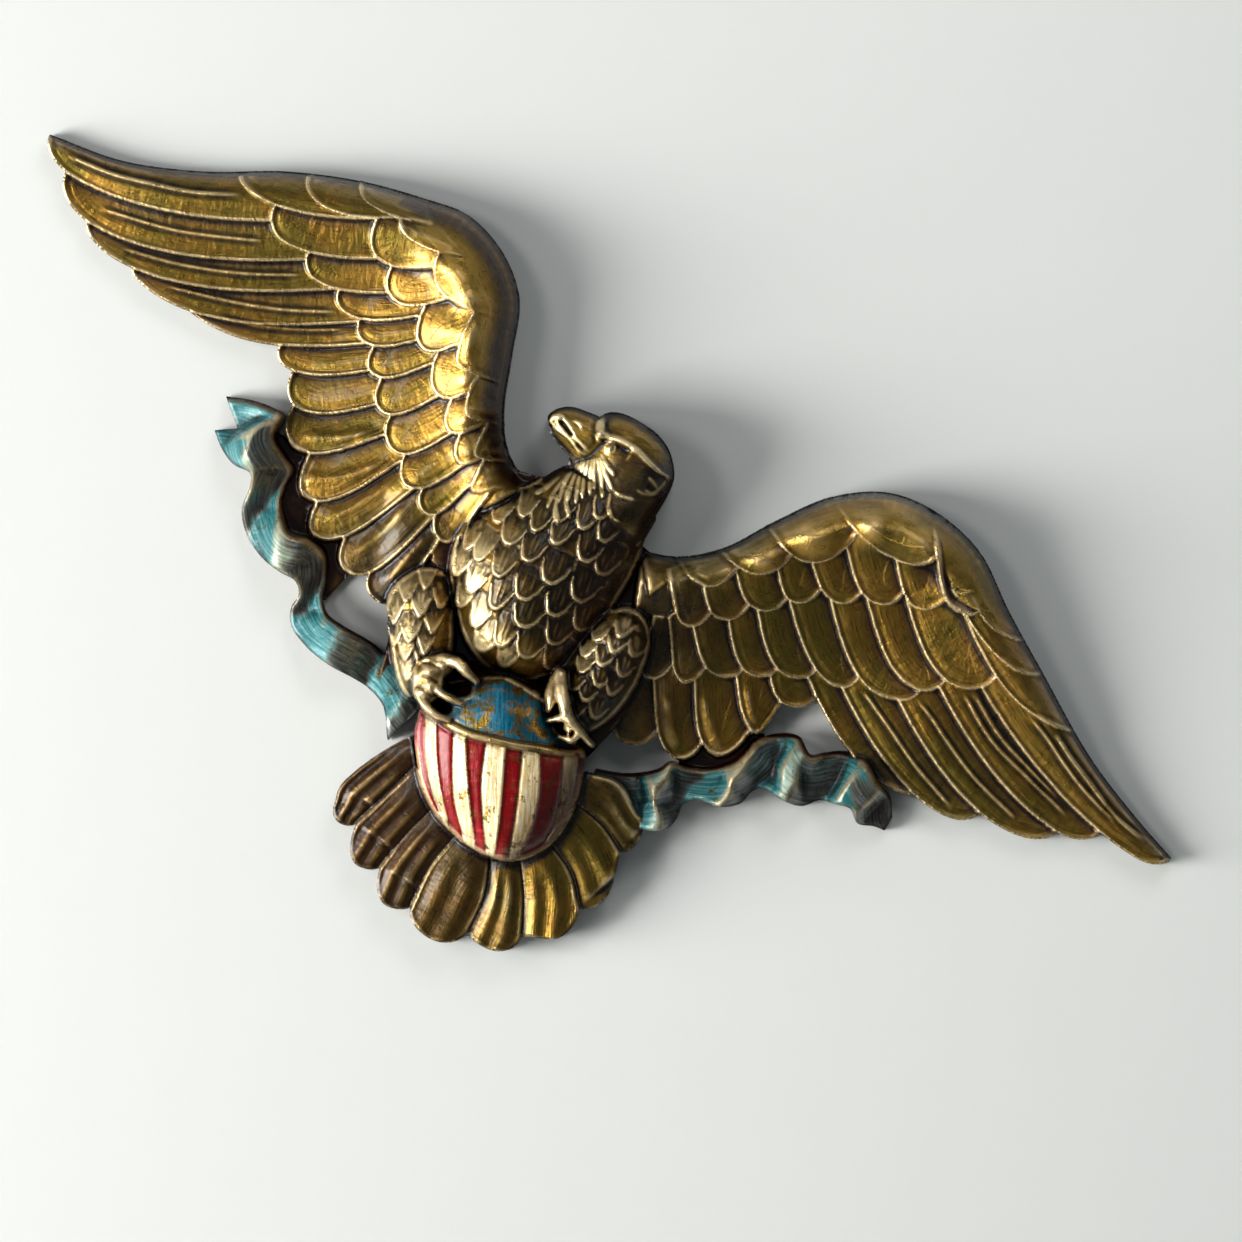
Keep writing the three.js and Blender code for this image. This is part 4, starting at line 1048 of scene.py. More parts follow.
def lay_ribbon(side, upper, lower, folds, notch=()):
    """A ribbon between two edges. folds are its heights on the way, and notch cuts its free end."""
    layer = Layer()
    upper, lower = smooth(upper, 120)[:, :2], smooth(lower, 120)[:, :2]
    outline = np.vstack([upper, lower[::-1], *notch])
    win, x, z, inset = room(outline)
    (one, _, way, share_one), (two, _, _, share_two) = (off_line(line, x, z) for line in (upper, lower))
    across = between(one, two)
    place = 100 * mix(share_one, share_two, across)
    waves = smooth(list(zip(np.linspace(0, 100, len(folds)), folds)), 200)
    lift = np.clip((blur(np.interp(place, waves[:, 0], waves[:, 1]), 1.0) - 9) / 18, 0, 1)
    climb = np.interp(place, waves[:, 0], np.gradient(waves[:, 1], waves[:, 0]))
    roll = 7 * (1 - arch(1 - np.clip(one / (0.16 * (one + two)), 0, 1)))
    turn = 1.5 * (1 - arch(1 - np.clip(two / 2.2, 0, 1)))
    inside = inset > 0
    bulge = 1.6 * np.sin(math.pi * across) * lift
    layer.lay(win, inside, np.maximum(7 + 19 * lift + bulge - roll - turn, 5), inset, (way, one))
    wavy = 0.25 * np.sin(0.55 * one + 0.2 * way)
    to_light = step(-0.5, 0.3, side * -climb + wavy)
    face = step(0.03, 0.12, across)
    low = step(0.45, 0.15, lift) * (1 - to_light)
    # Blue-green on the faces that turn towards the light and grey, a painted shade, on those that turn away;
    # the low faces turned away get more painted shade, and the upper edge a dark brown that is partly
    # painted shade.
    layer.dye(win, inside, teal=face * to_light, pewter=face * (1 - to_light), shade=0.9 * low)
    layer.dye(win, inside, mahogany=np.maximum(0.9 * (1 - face), 0.5 * low))
    layer.dye(win, inside, pale=0.8 * step(1.7, 0.7, np.minimum(two, one + 1)))
    # A little cream on the crests that face the light, a painted highlight.
    layer.dye(win, inside, cream=0.3 * to_light * step(0.75, 0.95, lift) * face)
    return layer


stack(casting, lay_ribbon(-1, left_upper, left_lower, left_folds, [(-188, -49)]), LEFT_RIBBON)
stack(casting, lay_ribbon(1, right_upper, right_lower, right_folds), RIGHT_RIBBON)
print("folds", len(left_folds), len(right_folds))

# %% [markdown]
# The feet grip the shield's top. Toes are rounded bars that carry their own heights and taper to
# the claw, and the left foot has a broad pad with two hollows beside it.

# %% Feet
# Each toe has its places, its half width and how pale it is.
toes = [
    ([(-36, -96, 55), (-29, -94, 59), (-22, -95.5, 60), (-15, -97, 57)], 3.0, 0.8),
    ([(-32, -110, 56), (-26, -111.5, 59), (-20, -111, 59), (-15.5, -110.5, 57)], 2.0, 0.9),
    ([(-38, -117, 53), (-31, -121, 57), (-24, -122, 58), (-17, -121, 56)], 2.4, 0.5),
    ([
        (19.5, -72, 53), (24, -78, 58), (29, -83.5, 60), (34, -88.5, 60), (42, -91.5, 58), (52, -94.5, 51),
    ], 3.4, 0.6),
    ([(20, -76, 51), (21.5, -83, 55), (24, -90, 55)], 4.2, 0.0),
    ([(35, -88.5, 58), (31, -91, 59), (26.5, -95, 55)], 2.2, 1.0),
    ([(43, -93, 56), (42, -97, 58), (36, -99, 55)], 2.2, 0.8), ([(37, -92, 55), (38.5, -95, 57)], 3.0, 0.0),
]
creases = [
    [(-45, -103), (-39, -101), (-32, -101)], [(-43, -109), (-37, -107.5), (-30, -108)],
    [(-42, -115), (-36, -114), (-29, -116)],
]
hollows = ((-22, -103.5, 6.5, 4.6), (-23.5, -116.5, 4.6, 3.0))
feet = Layer()
win, x, z, _ = lay_dome(feet, grip_form, 1.0)
feet.dye(win, pale=0.5 * step(0.3, 0.8, np.sin(x * 0.9) * np.cos(z * 0.7) + 0.4))
feet.carve(win, 1.6 * np.sin(x * 0.55 + 1) * np.cos(z * 0.45))
for places, half, pale in toes:
    win, gap, width = lay_bar(feet, places, half, half * 1.3, 0.45, own=True)
    feet.dye(win, gap < width, pale=pale)
for at_x, at_z, wide, high in hollows:
    win, x, z = window([(at_x, at_z)], margin=14)
    hollow = step(1.25, 0.85, np.hypot((x - at_x) / wide, (z - at_z) / high))
    casting.carve(win, -9 * hollow)
    # Each hollow is painted dark brown, as painted shade, over the blue.
    casting.dye(win, mahogany=hollow)
    casting.paint["blue"][win] *= 1 - hollow
lay_lines(feet, creases, -2.2, 0.9)
stack(casting, feet, SHIELD)
print("toes", len(toes))

# %% [markdown]
# Low ground ties the forms together where none stands, and a slope leads up to the shield.

# %% Ground
# Each piece of ground has its height and its outline.
grounds = [
    (5, [
        (-170, -40), (-150, -40), (-110, -70), (-100, -82), (-104, -102), (-112, -100), (-125, -84),
        (-140, -84), (-152, -66), (-156, -50), (-168, -47),
    ]),
    (5, [(93, -76), (104, -58), (125, -44), (135, -56), (120, -86), (98, -84)]),
    (9, [(125, -4), (140, 6), (172, 8), (168, -8), (145, -10)]),
    (14, [
        (-78, -60), (-60, -50), (-20, -75), (-15, -100), (-30, -125), (-60, -122), (-66, -100), (-70, -88),
    ]),
    (20, [
        (10, 8), (30, 5), (45, 14), (54, 0), (58, -20), (60, -60), (57, -86), (53, -103), (22, -100),
        (4, -76),
    ]),
    (26, [(-70, -16), (-60, 5), (-40, 10), (-40, -30), (-56, -60), (-68, -56)]),
]
slope_foot = [(-31, -101), (-24, -91), (-12, -84), (-2, -80), (10, -79), (22, -81)]
slope_head = [(-27, -106), (-19, -99), (-10, -93), (0, -89), (10, -89), (20, -89)]
ground, slope = Layer(), Layer()
for height, outline in grounds:
    win, x, _, inset = room(outline)
    ground.lay(win, inset > 0, np.full(x.shape, float(height)), inset, over=False)
    # The low ground is painted dark brown, partly as painted shade in the pockets between the forms.
    ground.dye(win, inset > 0, mahogany=0.8)
stack(casting, ground, TRUNK)
win, x, z, inset = room(slope_foot + slope_head[::-1])
low, high = off_line(slope_foot, x, z)[0], off_line(slope_head, x, z)[0]
slope.lay(win, inset > 0, mix(22.0, 42.0, between(low, high)), inset)
# The slope is painted brown, partly as painted shade.
slope.dye(win, inset > 0, mahogany=0.5)
stack(casting, slope, SHIELD)
print("pieces of ground", len(grounds))

# %% [markdown]
# The cast metal has no knife edges: the outer border is rounded over and every seam softened a little. The
# wash and the rubbing then follow from the relief itself: brown stays where a place lies below its
# surroundings, and bright metal shows where it stands above them. The painted shade laid on the forms is
# then added to the wash.

# %% Soft seams, wash with painted shade, and rub
BORDER_ROUND = 1.4
SEAM_SOFT = 2  # light passes over three places
cut = casting.inset > -0.35 * PITCH
held = cut & (casting.height > BARE / 2)


def blur_held(field, weight, radius):
    return blur(field * weight, radius) / np.maximum(blur(weight, radius), 1e-6)


height = np.where(held, casting.height, 0.0)
rise = np.where(held, height, blur_held(height, held.astype(float), 2.0))
rise -= BORDER_ROUND * (1 - arch(1 - np.clip(casting.inset / BORDER_ROUND, 0, 1)))
for axis in (0, 1) * SEAM_SOFT:
    rise = (np.roll(rise, 1, axis) + 2 * rise + np.roll(rise, -1, axis)) / 4
fine, broad = (rise - blur_held(rise, cut.astype(float), radius) for radius in (1.0, 4.0))
rub = step(0.15, 0.5, fine) * 0.48 + step(0.8, 2.6, broad) * 0.2
wash = step(-0.08, -0.5, fine) * 0.85 + step(-0.3, -2.4, broad) * 0.7
# The painted shade laid on the forms joins the wash, except on ridges.
wash = np.maximum(wash, casting.paint["shade"] * step(0.3, 0.05, fine))
print("rise", round(float(rise[cut].min()), 1), "to", round(float(rise[cut].max()), 1))

# %% [markdown]
# Half a million little faces are more than one mesh should hold, so the casting goes out in seven
# parts, cut along its own borders, such as where the body covers a wing. Neighbours share the
# places on the cut, so no seam opens. Cells that would meet at one corner alone are joined up.

# %% Cut into parts
PART_NAMES = ("left_wing", "right_wing", "trunk", "shield", "tail", "left_ribbon", "right_ribbon")
PARTS = range(len(PART_NAMES))


def corners_only(own):
    """Where two cells across from each other are held and the other two aren't, both ways round."""
    a, b, c, d = own[:-1, :-1], own[1:, :-1], own[:-1, 1:], own[1:, 1:]
    return a & d & ~b & ~c, b & c & ~a & ~d


cells = cut[:-1, :-1] & cut[1:, :-1] & cut[:-1, 1:] & cut[1:, 1:]
fills = (np.s_[1:, :-1], np.s_[:-1, :-1])
for _ in range(4):
    for fill, crossing in zip(fills, corners_only(cells)):
        cells[fill] |= crossing
claims = np.stack([blur(((casting.piece == k) & cut).astype(float), 3.0) for k in PARTS])
part = np.where(cells, claims.argmax(0)[:-1, :-1], -1)
for _ in range(12):
    for k in PARTS:
        for way, fill in enumerate(fills):
            filled = part[fill]
            filled[corners_only(part == k)[way] & (filled >= 0)] = k
print("cells in each part", [int((part == k).sum()) for k in PARTS])

# %% [markdown]
# The sheet that gets lifted is cut from the grid. Corners on the outer border are moved onto the
# true outline, which takes the steps out of it.


# %% Flat sheets
def corner_use(cells):
    used = np.zeros(X.shape, int)
    for down, along in ((0, 0), (0, 1), (1, 0), (1, 1)):
        used[down : down + cells.shape[0], along : along + cells.shape[1]] += cells
    return used


FARTHEST = 0.55 * PITCH  # how far a corner may move
whole_use = corner_use(cells)
grow_z, grow_x = np.gradient(casting.inset, PITCH)
steep = np.maximum(np.hypot(grow_x, grow_z), 0.5)
move = np.clip(-casting.inset / steep, -FARTHEST, FARTHEST)
move = np.where((whole_use > 0) & (whole_use < 4), move, 0)
sheet_x = X + move * grow_x / steep
sheet_z = Z + move * grow_z / steep


def flat_sheet(name, cells):
    used = corner_use(cells) > 0
    number = np.full(X.shape, -1)
    number[used] = np.arange(used.sum())
    rows, cols = np.nonzero(cells)
    around = [(rows, cols), (rows, cols + 1), (rows + 1, cols + 1), (rows + 1, cols)]
    quads = np.stack([number[place] for place in around], 1)
    places = np.stack([sheet_x[used], np.zeros(used.sum()), sheet_z[used]], 1) * MM
    sheet = bpy.data.meshes.new(name)
    sheet.from_pydata(places.tolist(), [], quads.tolist())
    lifted_by = sheet.attributes.new("rise", "FLOAT", "POINT")
    lifted_by.data.foreach_set("value", (rise[used] * MM).astype(np.float32))
    return sheet


print("corners on the outer border", int((move != 0).sum()))

# %% [markdown]
# Geometry Nodes do the lifting. The front is extruded from the sheet and every place of it moves
# out by its own rise. The sheet itself, turned round, becomes the flat back, and merging the two
# closes the solid.


# %% The lifting tree
def add(tree, kind, inputs=(), **settings):
    """The outputs of a new node. Its inputs are values or other nodes' outputs."""
    node = tree.nodes.new(kind)
    for name, value in settings.items():
        setattr(node, name, value)
    for name, value in dict(inputs).items():
        if isinstance(value, bpy.types.NodeSocket):
            tree.links.new(value, node.inputs[name])
        else:
            node.inputs[name].default_value = value
    return node.outputs


def lifting_tree(material):
    tree = bpy.data.node_groups.new("lift_casting", "GeometryNodeTree")
    tree.is_modifier = True
    sockets = {}
    for name, way, kind in (
        ("Sheet", "INPUT", "Geometry"),
        ("Lift", "INPUT", "Float"),
        ("Weld", "INPUT", "Float"),
        ("Casting", "OUTPUT", "Geometry"),
    ):
        socket = tree.interface.new_socket(name=name, in_out=way, socket_type="NodeSocket" + kind)
        sockets[name] = socket.identifier
    given = add(tree, "NodeGroupInput")
    sheet = {"Mesh": given["Sheet"], "Offset Scale": 0.0, "Individual": False}
    front = add(tree, "GeometryNodeExtrudeMesh", sheet)
    own = add(tree, "GeometryNodeInputNamedAttribute", {"Name": "rise"}, data_type="FLOAT")
    amount = add(tree, "ShaderNodeMath", {0: own["Attribute"], 1: given["Lift"]}, operation="MULTIPLY")
    outwards = add(tree, "ShaderNodeMath", {0: amount[0], 1: -1.0}, operation="MULTIPLY")
    offset = add(tree, "ShaderNodeCombineXYZ", {"Y": outwards[0]})
    moved = {"Geometry": front["Mesh"], "Selection": front["Top"], "Offset": offset[0]}
    lifted = add(tree, "GeometryNodeSetPosition", moved)
    back = add(tree, "GeometryNodeFlipFaces", {"Mesh": given["Sheet"]})
    both = add(tree, "GeometryNodeJoinGeometry", {0: lifted[0]})[0]
    tree.links.new(back[0], both.node.inputs[0])
    weld = add(tree, "GeometryNodeMergeByDistance", {"Geometry": both, "Distance": given["Weld"]})
    real = add(tree, "GeometryNodeRealizeInstances", {0: weld[0]})
    done = add(tree, "GeometryNodeSetMaterial", {"Geometry": real[0], "Material": material})
    add(tree, "NodeGroupOutput", {"Casting": done[0]})
    return tree, sockets


# %% [markdown]
# The finish is one material: a worn gilt over dark brown, under a clear lacquer, with five paints, and with
# painted highlights and painted shade among the amounts it reads.
# How much of each lies at a place is stored on the mesh, and noise breaks up every border so that
# none looks printed. Thin lines, such as the bright rim of a feather, are drawn from the stored
# distance to its edge, because a distance stays exact between two corners of the mesh.

# %% Shader helpers
SCREEN_GAMMA = 2.2
gilt = bpy.data.materials.new("gilt_paint")
gilt.use_nodes = True
finish = gilt.node_tree
finish.nodes.clear()
where = add(finish, "ShaderNodeTexCoord")["Object"]


def tone(r, g, b):
    """A colour as seen on a screen, 0 to 255, in the linear values that a shader takes."""
    return tuple((v / 255) ** SCREEN_GAMMA for v in (r, g, b)) + (1.0,)


def stored(name):
    """The three numbers that the mesh keeps under a name."""
    kept = add(finish, "ShaderNodeAttribute", attribute_name=name)["Vector"]
    return add(finish, "ShaderNodeSeparateXYZ", {0: kept})


def noise(vector, scale, detail=4.0, rough=0.6, shape=(1.0, 1.0, 1.0)):
    laid = add(finish, "ShaderNodeMapping", {"Vector": vector, "Scale": shape})[0]
    inputs = {"Vector": laid, "Scale": scale, "Detail": detail, "Roughness": rough}
    return add(finish, "ShaderNodeTexNoise", inputs)["Fac"]


def ramp(value, low, high, out_low=0.0, out_high=1.0):
    """An even passage from one number to another. It also runs downwards, if low is over high."""
    if low > high:
        low, high, out_low, out_high = high, low, out_high, out_low
    ends = {"Value": value, "From Min": low, "From Max": high, "To Min": out_low, "To Max": out_high}
    return add(finish, "ShaderNodeMapRange", ends, interpolation_type="SMOOTHSTEP")["Result"]


def combine(kind, a, b):
    return add(finish, "ShaderNodeMath", {0: a, 1: b}, operation=kind)[0]


def times(a, b):
    return combine("MULTIPLY", a, b)


def over(base, top, amount, kind="RGBA"):
    """Lays one colour or number over another. The mix node has its own sockets for each kind."""
    first, result = (6, 2) if kind == "RGBA" else (2, 0)
    return add(finish, "ShaderNodeMix", {0: amount, first: base, first + 1: top}, data_type=kind)[result]


# %% [markdown]
# All patterns come from noise. Streaks, ripples and ticks follow the feather or fold they lie on,
# and clouds, patches, grit and dents are the same all over.

# %% Patterns of the finish
grain = stored("grain")  # along the feather, across it, how deep below the front
own_edge, hidden_side, bright = stored("edges")  # to the free edge, to the hidden side, painted highlight
wear = stored("wear")  # rubbed, washed with painted shade, pale gold with painted highlight
flow = add(finish, "ShaderNodeCombineXYZ", {0: grain[0], 1: grain[1]})[0]
streaks = noise(flow, 1.0, 5.0, 0.65, (0.07, 0.8, 1.0))
ripples = noise(flow, 1.0, 3.0, 0.55, (0.28, 0.09, 1.0))
ticks = noise(flow, 1.0, 3.0, 0.6, (0.9, 0.25, 1.0))
cloud = noise(where, 26.0)
patches = noise(where, 130.0, 5.0, 0.7)
grit = noise(where, 700.0, 3.0)
dents = noise(where, 170.0, 2.0, 0.5)

# %% [markdown]
# The gold is laid in thin coats with a painted highlight and a pale gold that is partly painted highlight,
# then the dark wash with the painted shade over it, and last the metal that was rubbed bare.

# %% Gilding, painted highlights, wash with painted shade, and rub
pale_left = times(wear[2], ramp(patches, 0.3, 0.55, 0.35, 1.0))
gold = over(tone(146, 112, 48), tone(118, 100, 42), ramp(cloud, 0.4, 0.6))
for hue, amount in (
    (tone(124, 68, 30), ramp(ripples, 0.52, 0.75, 0.0, 0.38)),
    (tone(62, 42, 20), ramp(streaks, 0.5, 0.72, 0.0, 0.85)),
    (tone(92, 64, 52), ramp(hidden_side, 9.0, 0.5, 0.0, 0.85)),
    # A painted highlight in bright gold, and pale gold that is partly a painted highlight.
    (tone(214, 170, 84), times(bright, ramp(patches, 0.25, 0.6, 0.5, 1.0))),
    (tone(230, 208, 154), pale_left),
):
    gold = over(gold, hue, amount)
# The dark wash, which also carries the painted shade.
washed = combine("MINIMUM", times(wear[1], ramp(patches, 0.2, 0.7, 1.25, 0.75)), 1.0)
rim = times(ramp(own_edge, 1.05, 0.55), ramp(ticks, 0.36, 0.62, 0.2, 1.0))
rubbed = combine("MAXIMUM", rim, times(wear[0], ramp(patches, 0.3, 0.6, 0.4, 1.0)))
colour = over(over(gold, tone(22, 13, 7), washed), tone(250, 224, 176), rubbed)
metal = over(0.88, 0.1, washed, "FLOAT")
metal = over(metal, 0.66, combine("MAXIMUM", pale_left, rubbed), "FLOAT")

# %% [markdown]
# The paints are thin and old. Each is chipped by the same noise, is worn off where the relief was rubbed,
# and lets some gold through. The grey among them is painted shade on the ribbons, and the cream is partly a
# painted highlight.

# %% Paints
hues, lights = stored("hues"), stored("lights")
for amount, dark_tone, light_tone, pattern, low, high, keep, shine in (
    (hues[0], (2, 68, 88), (6, 116, 146), streaks, 0.35, 0.65, 0.42, 0.0),
    (hues[1], (138, 4, 16), (190, 44, 54), ripples, 0.5, 0.75, 0.34, 0.0),
    (hues[2], (28, 98, 104), (118, 168, 168), streaks, 0.38, 0.8, 0.3, 0.2),
    # Cream, which on the ribbons' lit crests is a painted highlight.
    (lights[0], (214, 180, 112), (248, 234, 198), streaks, 0.35, 0.65, 0.34, 0.15),
    # Grey, the painted shade on ribbon faces that turn away from the light.
    (lights[1], (72, 78, 76), (158, 164, 160), streaks, 0.35, 0.75, 0.2, 0.6),
):
    unchipped = times(amount, ramp(patches, keep, keep + 0.12))
    left = times(unchipped, ramp(wear[0], 0.2, 0.9, 1.0, 0.35))
    hue = over(tone(*dark_tone), tone(*light_tone), ramp(pattern, low, high))
    colour = over(colour, hue, left)
    metal = over(metal, shine, left, "FLOAT")
# Dark brown: the mahogany, partly painted shade, and the side walls by their depth; then the wash with its
# painted shade once more.
dark = combine("MAXIMUM", times(lights[2], 0.85), ramp(grain[2], 0.8, 3.2))
colour = over(over(colour, tone(66, 27, 13), dark), tone(18, 10, 6), times(washed, 0.7))
metal = over(metal, 0.2, dark, "FLOAT")

marks = times(ticks, ramp(own_edge, 4.0, 0.8, 0.0, 0.7))
for pattern, strength in ((streaks, 1.0), (grit, 0.25), (ripples, 1.0), (dents, 1.2)):
    marks = combine("ADD", marks, times(pattern, strength))
bumps = add(finish, "ShaderNodeBump", {"Strength": 0.5, "Distance": 0.0008, "Height": marks})
surface = {
    "Base Color": colour,
    "Metallic": metal,
    "Roughness": ramp(patches, 0.2, 0.8, 0.22, 0.42),
    "Specular IOR Level": 0.3,
    "Coat Weight": 0.26,
    "Coat Roughness": 0.15,
    "Normal": bumps[0],
}
shader = add(finish, "ShaderNodeBsdfPrincipled", surface)
add(finish, "ShaderNodeOutputMaterial", {"Surface": shader[0]})
print("nodes of the finish", len(finish.nodes))

# %% [markdown]
# Each part is lifted, thinned where it is flat, and turned into a plain mesh. Then the amounts of
# paint are read off the grid at every corner, so that they stay sharp.

# %% Lift, thin and dress the parts
MOST_TRIANGLES = 190_000
KEPT_SHARE = 0.5
RAW_PER_CELL = 4.05  # triangles of front, back and walls to each cell of a sheet
WELD = 0.000005  # metres between places that become one
tree, sockets = lifting_tree(gilt)
paint = casting.paint


def put(name, data):
    thing = bpy.data.objects.new(name, data)
    bpy.context.scene.collection.objects.link(thing)
    return thing


def lift(name, cells):
    flat = put(name + "_sheet", flat_sheet(name + "_sheet", cells))
    lifter = flat.modifiers.new("lift", "NODES")
    lifter.node_group = tree
    lifter[sockets["Lift"]] = 1.0
    lifter[sockets["Weld"]] = WELD
    thinner = flat.modifiers.new("thin", "DECIMATE")
    thinner.ratio = min(KEPT_SHARE, MOST_TRIANGLES / (cells.sum() * RAW_PER_CELL))
    thinner.use_collapse_triangulate = True
    graph = bpy.context.evaluated_depsgraph_get()
    mesh = bpy.data.meshes.new_from_object(flat.evaluated_get(graph))
    bpy.data.objects.remove(flat)
    return mesh


def read_all(items, name, width=1, kind=np.float32):
    values = np.empty(len(items) * width, kind)
    items.foreach_get(name, values)
    return values.reshape(-1, width) if width > 1 else values


def mark_borders(mesh):
    """Smooth shading, except where a side wall or the back meets another face."""
    mesh.polygons.foreach_set("use_smooth", np.ones(len(mesh.polygons), bool))
    y = read_all(mesh.polygons, "normal", 3)[:, 1]
    kind = np.where(np.abs(y) < 0.02, 1, np.where(y > 0.98, 2, 0))
    edge_of = read_all(mesh.loops, "edge_index", kind=np.int32)
    face_kind = np.repeat(kind, read_all(mesh.polygons, "loop_total", kind=np.int32))
    low, high = np.full(len(mesh.edges), 9), np.full(len(mesh.edges), -1)
    np.minimum.at(low, edge_of, face_kind)
    np.maximum.at(high, edge_of, face_kind)
    sharp = mesh.attributes.get("sharp_edge") or mesh.attributes.new("sharp_edge", "BOOLEAN", "EDGE")
    sharp.data.foreach_set("value", low != high)
    return int((np.bincount(edge_of, minlength=len(mesh.edges)) != 2).sum())


def dress(mesh):
    """Stores what the material reads."""
    points = read_all(mesh.vertices, "co", 3, float) / MM
    fx = np.clip((points[:, 0] - columns[0]) / PITCH, 0, len(columns) - 1.001)
    fz = np.clip((points[:, 2] - levels[0]) / PITCH, 0, len(levels) - 1.001)
    ix, iz = fx.astype(int), fz.astype(int)

    def read(field):
        low = mix(field[iz, ix], field[iz, ix + 1], fx - ix)
        high = mix(field[iz + 1, ix], field[iz + 1, ix + 1], fx - ix)
        return mix(low, high, fz - iz)

    way, aside, own, other = casting.grain[np.round(fz).astype(int), np.round(fx).astype(int)].T
    depth = np.clip(read(rise) + points[:, 1], 0, 60)
    # The wash carries painted shade; the pale gold, the cream and the bright gold carry painted highlights;
    # the grey and the mahogany carry painted shade.
    for name, fields in (
        ("grain", (way, aside, depth)),
        ("edges", (own, other, read(paint["bright"]))),
        ("wear", (read(rub), read(wash), read(paint["pale"]))),
        ("hues", [read(paint[name]) for name in ("blue", "red", "teal")]),
        ("lights", [read(paint[name]) for name in ("cream", "pewter", "mahogany")]),
    ):
        attribute = mesh.attributes.new(name, "FLOAT_VECTOR", "POINT")
        attribute.data.foreach_set("vector", np.stack(fields, 1).astype(np.float32).ravel())
    mesh.materials.clear()
    mesh.materials.append(gilt)


triangles = 0
for k, name in enumerate(PART_NAMES):
    mesh = lift(name, part == k)
    open_edges = mark_borders(mesh)
    dress(mesh)
    piece = put(name, mesh)
    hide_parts("eagle_plaque")
    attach(piece, "root")
    triangles += len(mesh.polygons)
    print(name, "triangles", len(mesh.polygons), "edges that aren't shared by two", open_edges)
print("triangles in all", triangles)

# %% [markdown]
# The studio: a pale wall behind the plaque, a pale floor well below it, soft light and a long lens
# straight in front. The photograph is taken with the plaque turned, so the camera is rolled.

# %% Camera
ROLL = math.radians(31)
FRAME_WIDTH = 0.6403
SENSOR = 36
DISTANCE = 5.0
right = np.array([math.cos(ROLL), 0, math.sin(ROLL)])
upward = np.array([-math.sin(ROLL), 0, math.cos(ROLL)])
outward = np.array([0, -1.0, 0])
centre = np.array([0.0321, 0, -0.0324])
camera_data = bpy.data.cameras.new("camera")
camera_data.sensor_width = SENSOR
camera_data.lens = SENSOR * DISTANCE / FRAME_WIDTH
camera = put("camera", camera_data)
axes = Matrix([right, upward, outward]).transposed()
camera.matrix_world = Matrix.Translation(Vector(centre + DISTANCE * outward)) @ axes.to_4x4()
bpy.context.scene.camera = camera
print("lens", round(camera_data.lens))

# %% [markdown]
# The wall is seen through from behind, so that the back of the plaque can be looked at, and it has
# no face where the plaque covers it.

# %% Wall and floor
TILE = 0.0025
WALL_Y = 0.0008
WALL_SIDE, WALL_TOP = 2.2, 2.0
FLOOR_Z = -2.6


def plain(name, colour, rough=0.6):
    material = bpy.data.materials.new(name)
    material.use_nodes = True
    bsdf = material.node_tree.nodes["Principled BSDF"]
    bsdf.inputs["Base Color"].default_value = colour
    bsdf.inputs["Roughness"].default_value = rough
    return material


def grid_place(marks, axis):
    """The place on the grid under the middle of each tile, or the grid's end."""
    middle = (marks[:-1] + marks[1:]) / 2 / MM
    return np.clip(((middle - axis[0]) / PITCH).astype(int), 0, len(axis) - 1)


wall_material = plain("pale_wall", tone(228, 231, 229))
wall_tree = wall_material.node_tree
from_behind = add(wall_tree, "ShaderNodeNewGeometry")["Backfacing"]
clear = add(wall_tree, "ShaderNodeBsdfTransparent")[0]
solid = wall_tree.nodes["Principled BSDF"].outputs[0]
choice = add(wall_tree, "ShaderNodeMixShader", {0: from_behind, 1: solid, 2: clear})[0]
wall_tree.links.new(choice, wall_tree.nodes["Material Output"].inputs["Surface"])

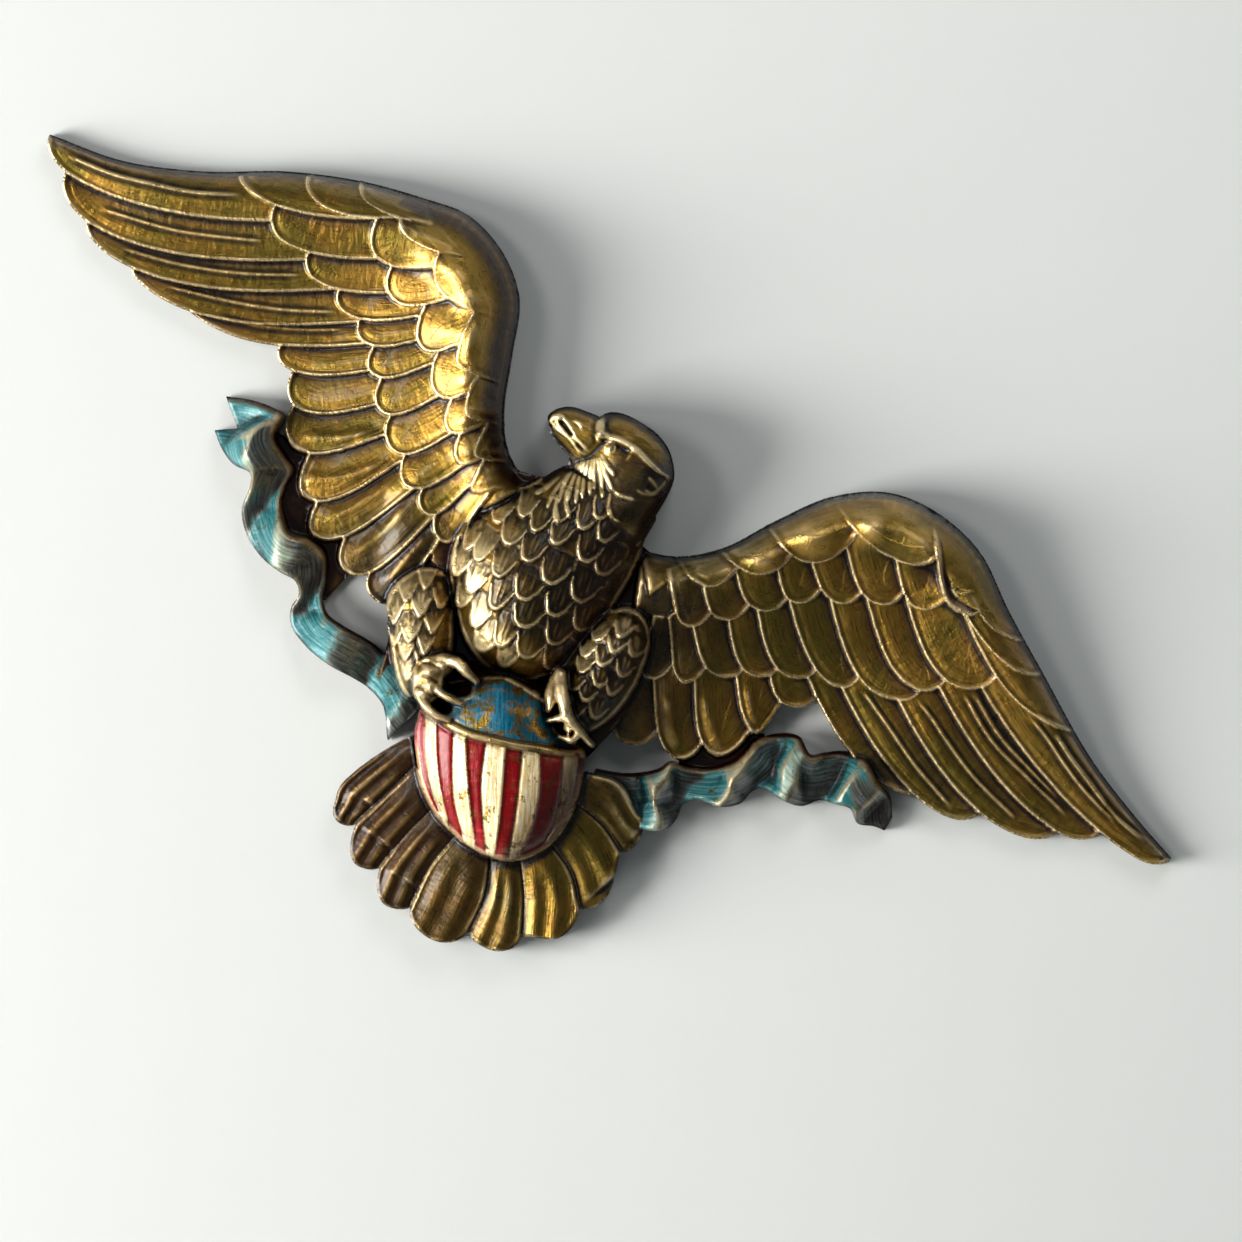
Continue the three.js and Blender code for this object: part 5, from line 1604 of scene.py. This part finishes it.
wall_xs = np.array([-WALL_SIDE, *np.arange(-0.37, 0.375, TILE), WALL_SIDE])
wall_zs = np.array([FLOOR_Z, *np.arange(-0.25, 0.135, TILE), WALL_TOP])
covered = blur(cut.astype(float), 1.5) > 0.985
i, k = np.nonzero(~covered[np.ix_(grid_place(wall_zs, levels), grid_place(wall_xs, columns))].T)
first = i * len(wall_zs) + k
tiles = np.stack([first, first + len(wall_zs), first + len(wall_zs) + 1, first + 1], 1)
wall_corners = [(x, WALL_Y, z) for x in wall_xs for z in wall_zs]
floor_corners = [(-4, -7, FLOOR_Z), (4, -7, FLOOR_Z), (4, 3, FLOOR_Z), (-4, 3, FLOOR_Z)]
for name, corners, faces, material in (
    ("wall", wall_corners, tiles.tolist(), wall_material),
    ("floor", floor_corners, [(0, 1, 2, 3)], plain("pale_floor", tone(224, 224, 222))),
):
    mesh = bpy.data.meshes.new(name)
    mesh.from_pydata(corners, [], faces)
    mesh.materials.append(material)
    backdrop = put(name, mesh)
print("wall tiles", len(tiles))

# %% [markdown]
# One broad soft light stands low on the left, as a window would, so that every step of a feather
# that faces it shines and every one that turns away goes dark. The rest is faint and even.

# %% Light
world = bpy.data.worlds.new("studio")
world.use_nodes = True
background = world.node_tree.nodes["Background"].inputs
background["Color"].default_value = tone(200, 210, 214)
background["Strength"].default_value = 0.17
bpy.context.scene.world = world
# Each light stands so far across, up and out from the picture's centre, in metres, with its size
# in metres, its power in watts and its colour.
lamps = (
    ("key", -3.2, -0.8, 1.3, 2.3, 355, (1.0, 0.985, 0.95)),
    ("glint", -1.7, 0.7, 2.4, 0.6, 11, (1.0, 0.99, 0.96)),
    ("fill", 0.6, 1.5, 1.6, 1.0, 9, (1.0, 1.0, 1.0)),
)
for name, across, up, out, size, power, colour in lamps:
    data = bpy.data.lights.new(name, "AREA")
    data.size = size
    data.energy = power
    data.color = colour
    lamp = put(name, data)
    place = centre + across * right + up * upward + out * outward
    lamp.location = place
    lamp.rotation_euler = Vector(centre - place).to_track_quat("-Z", "Y").to_euler()
bpy.context.scene.view_settings.view_transform = "Standard"
print("lights", len(lamps))
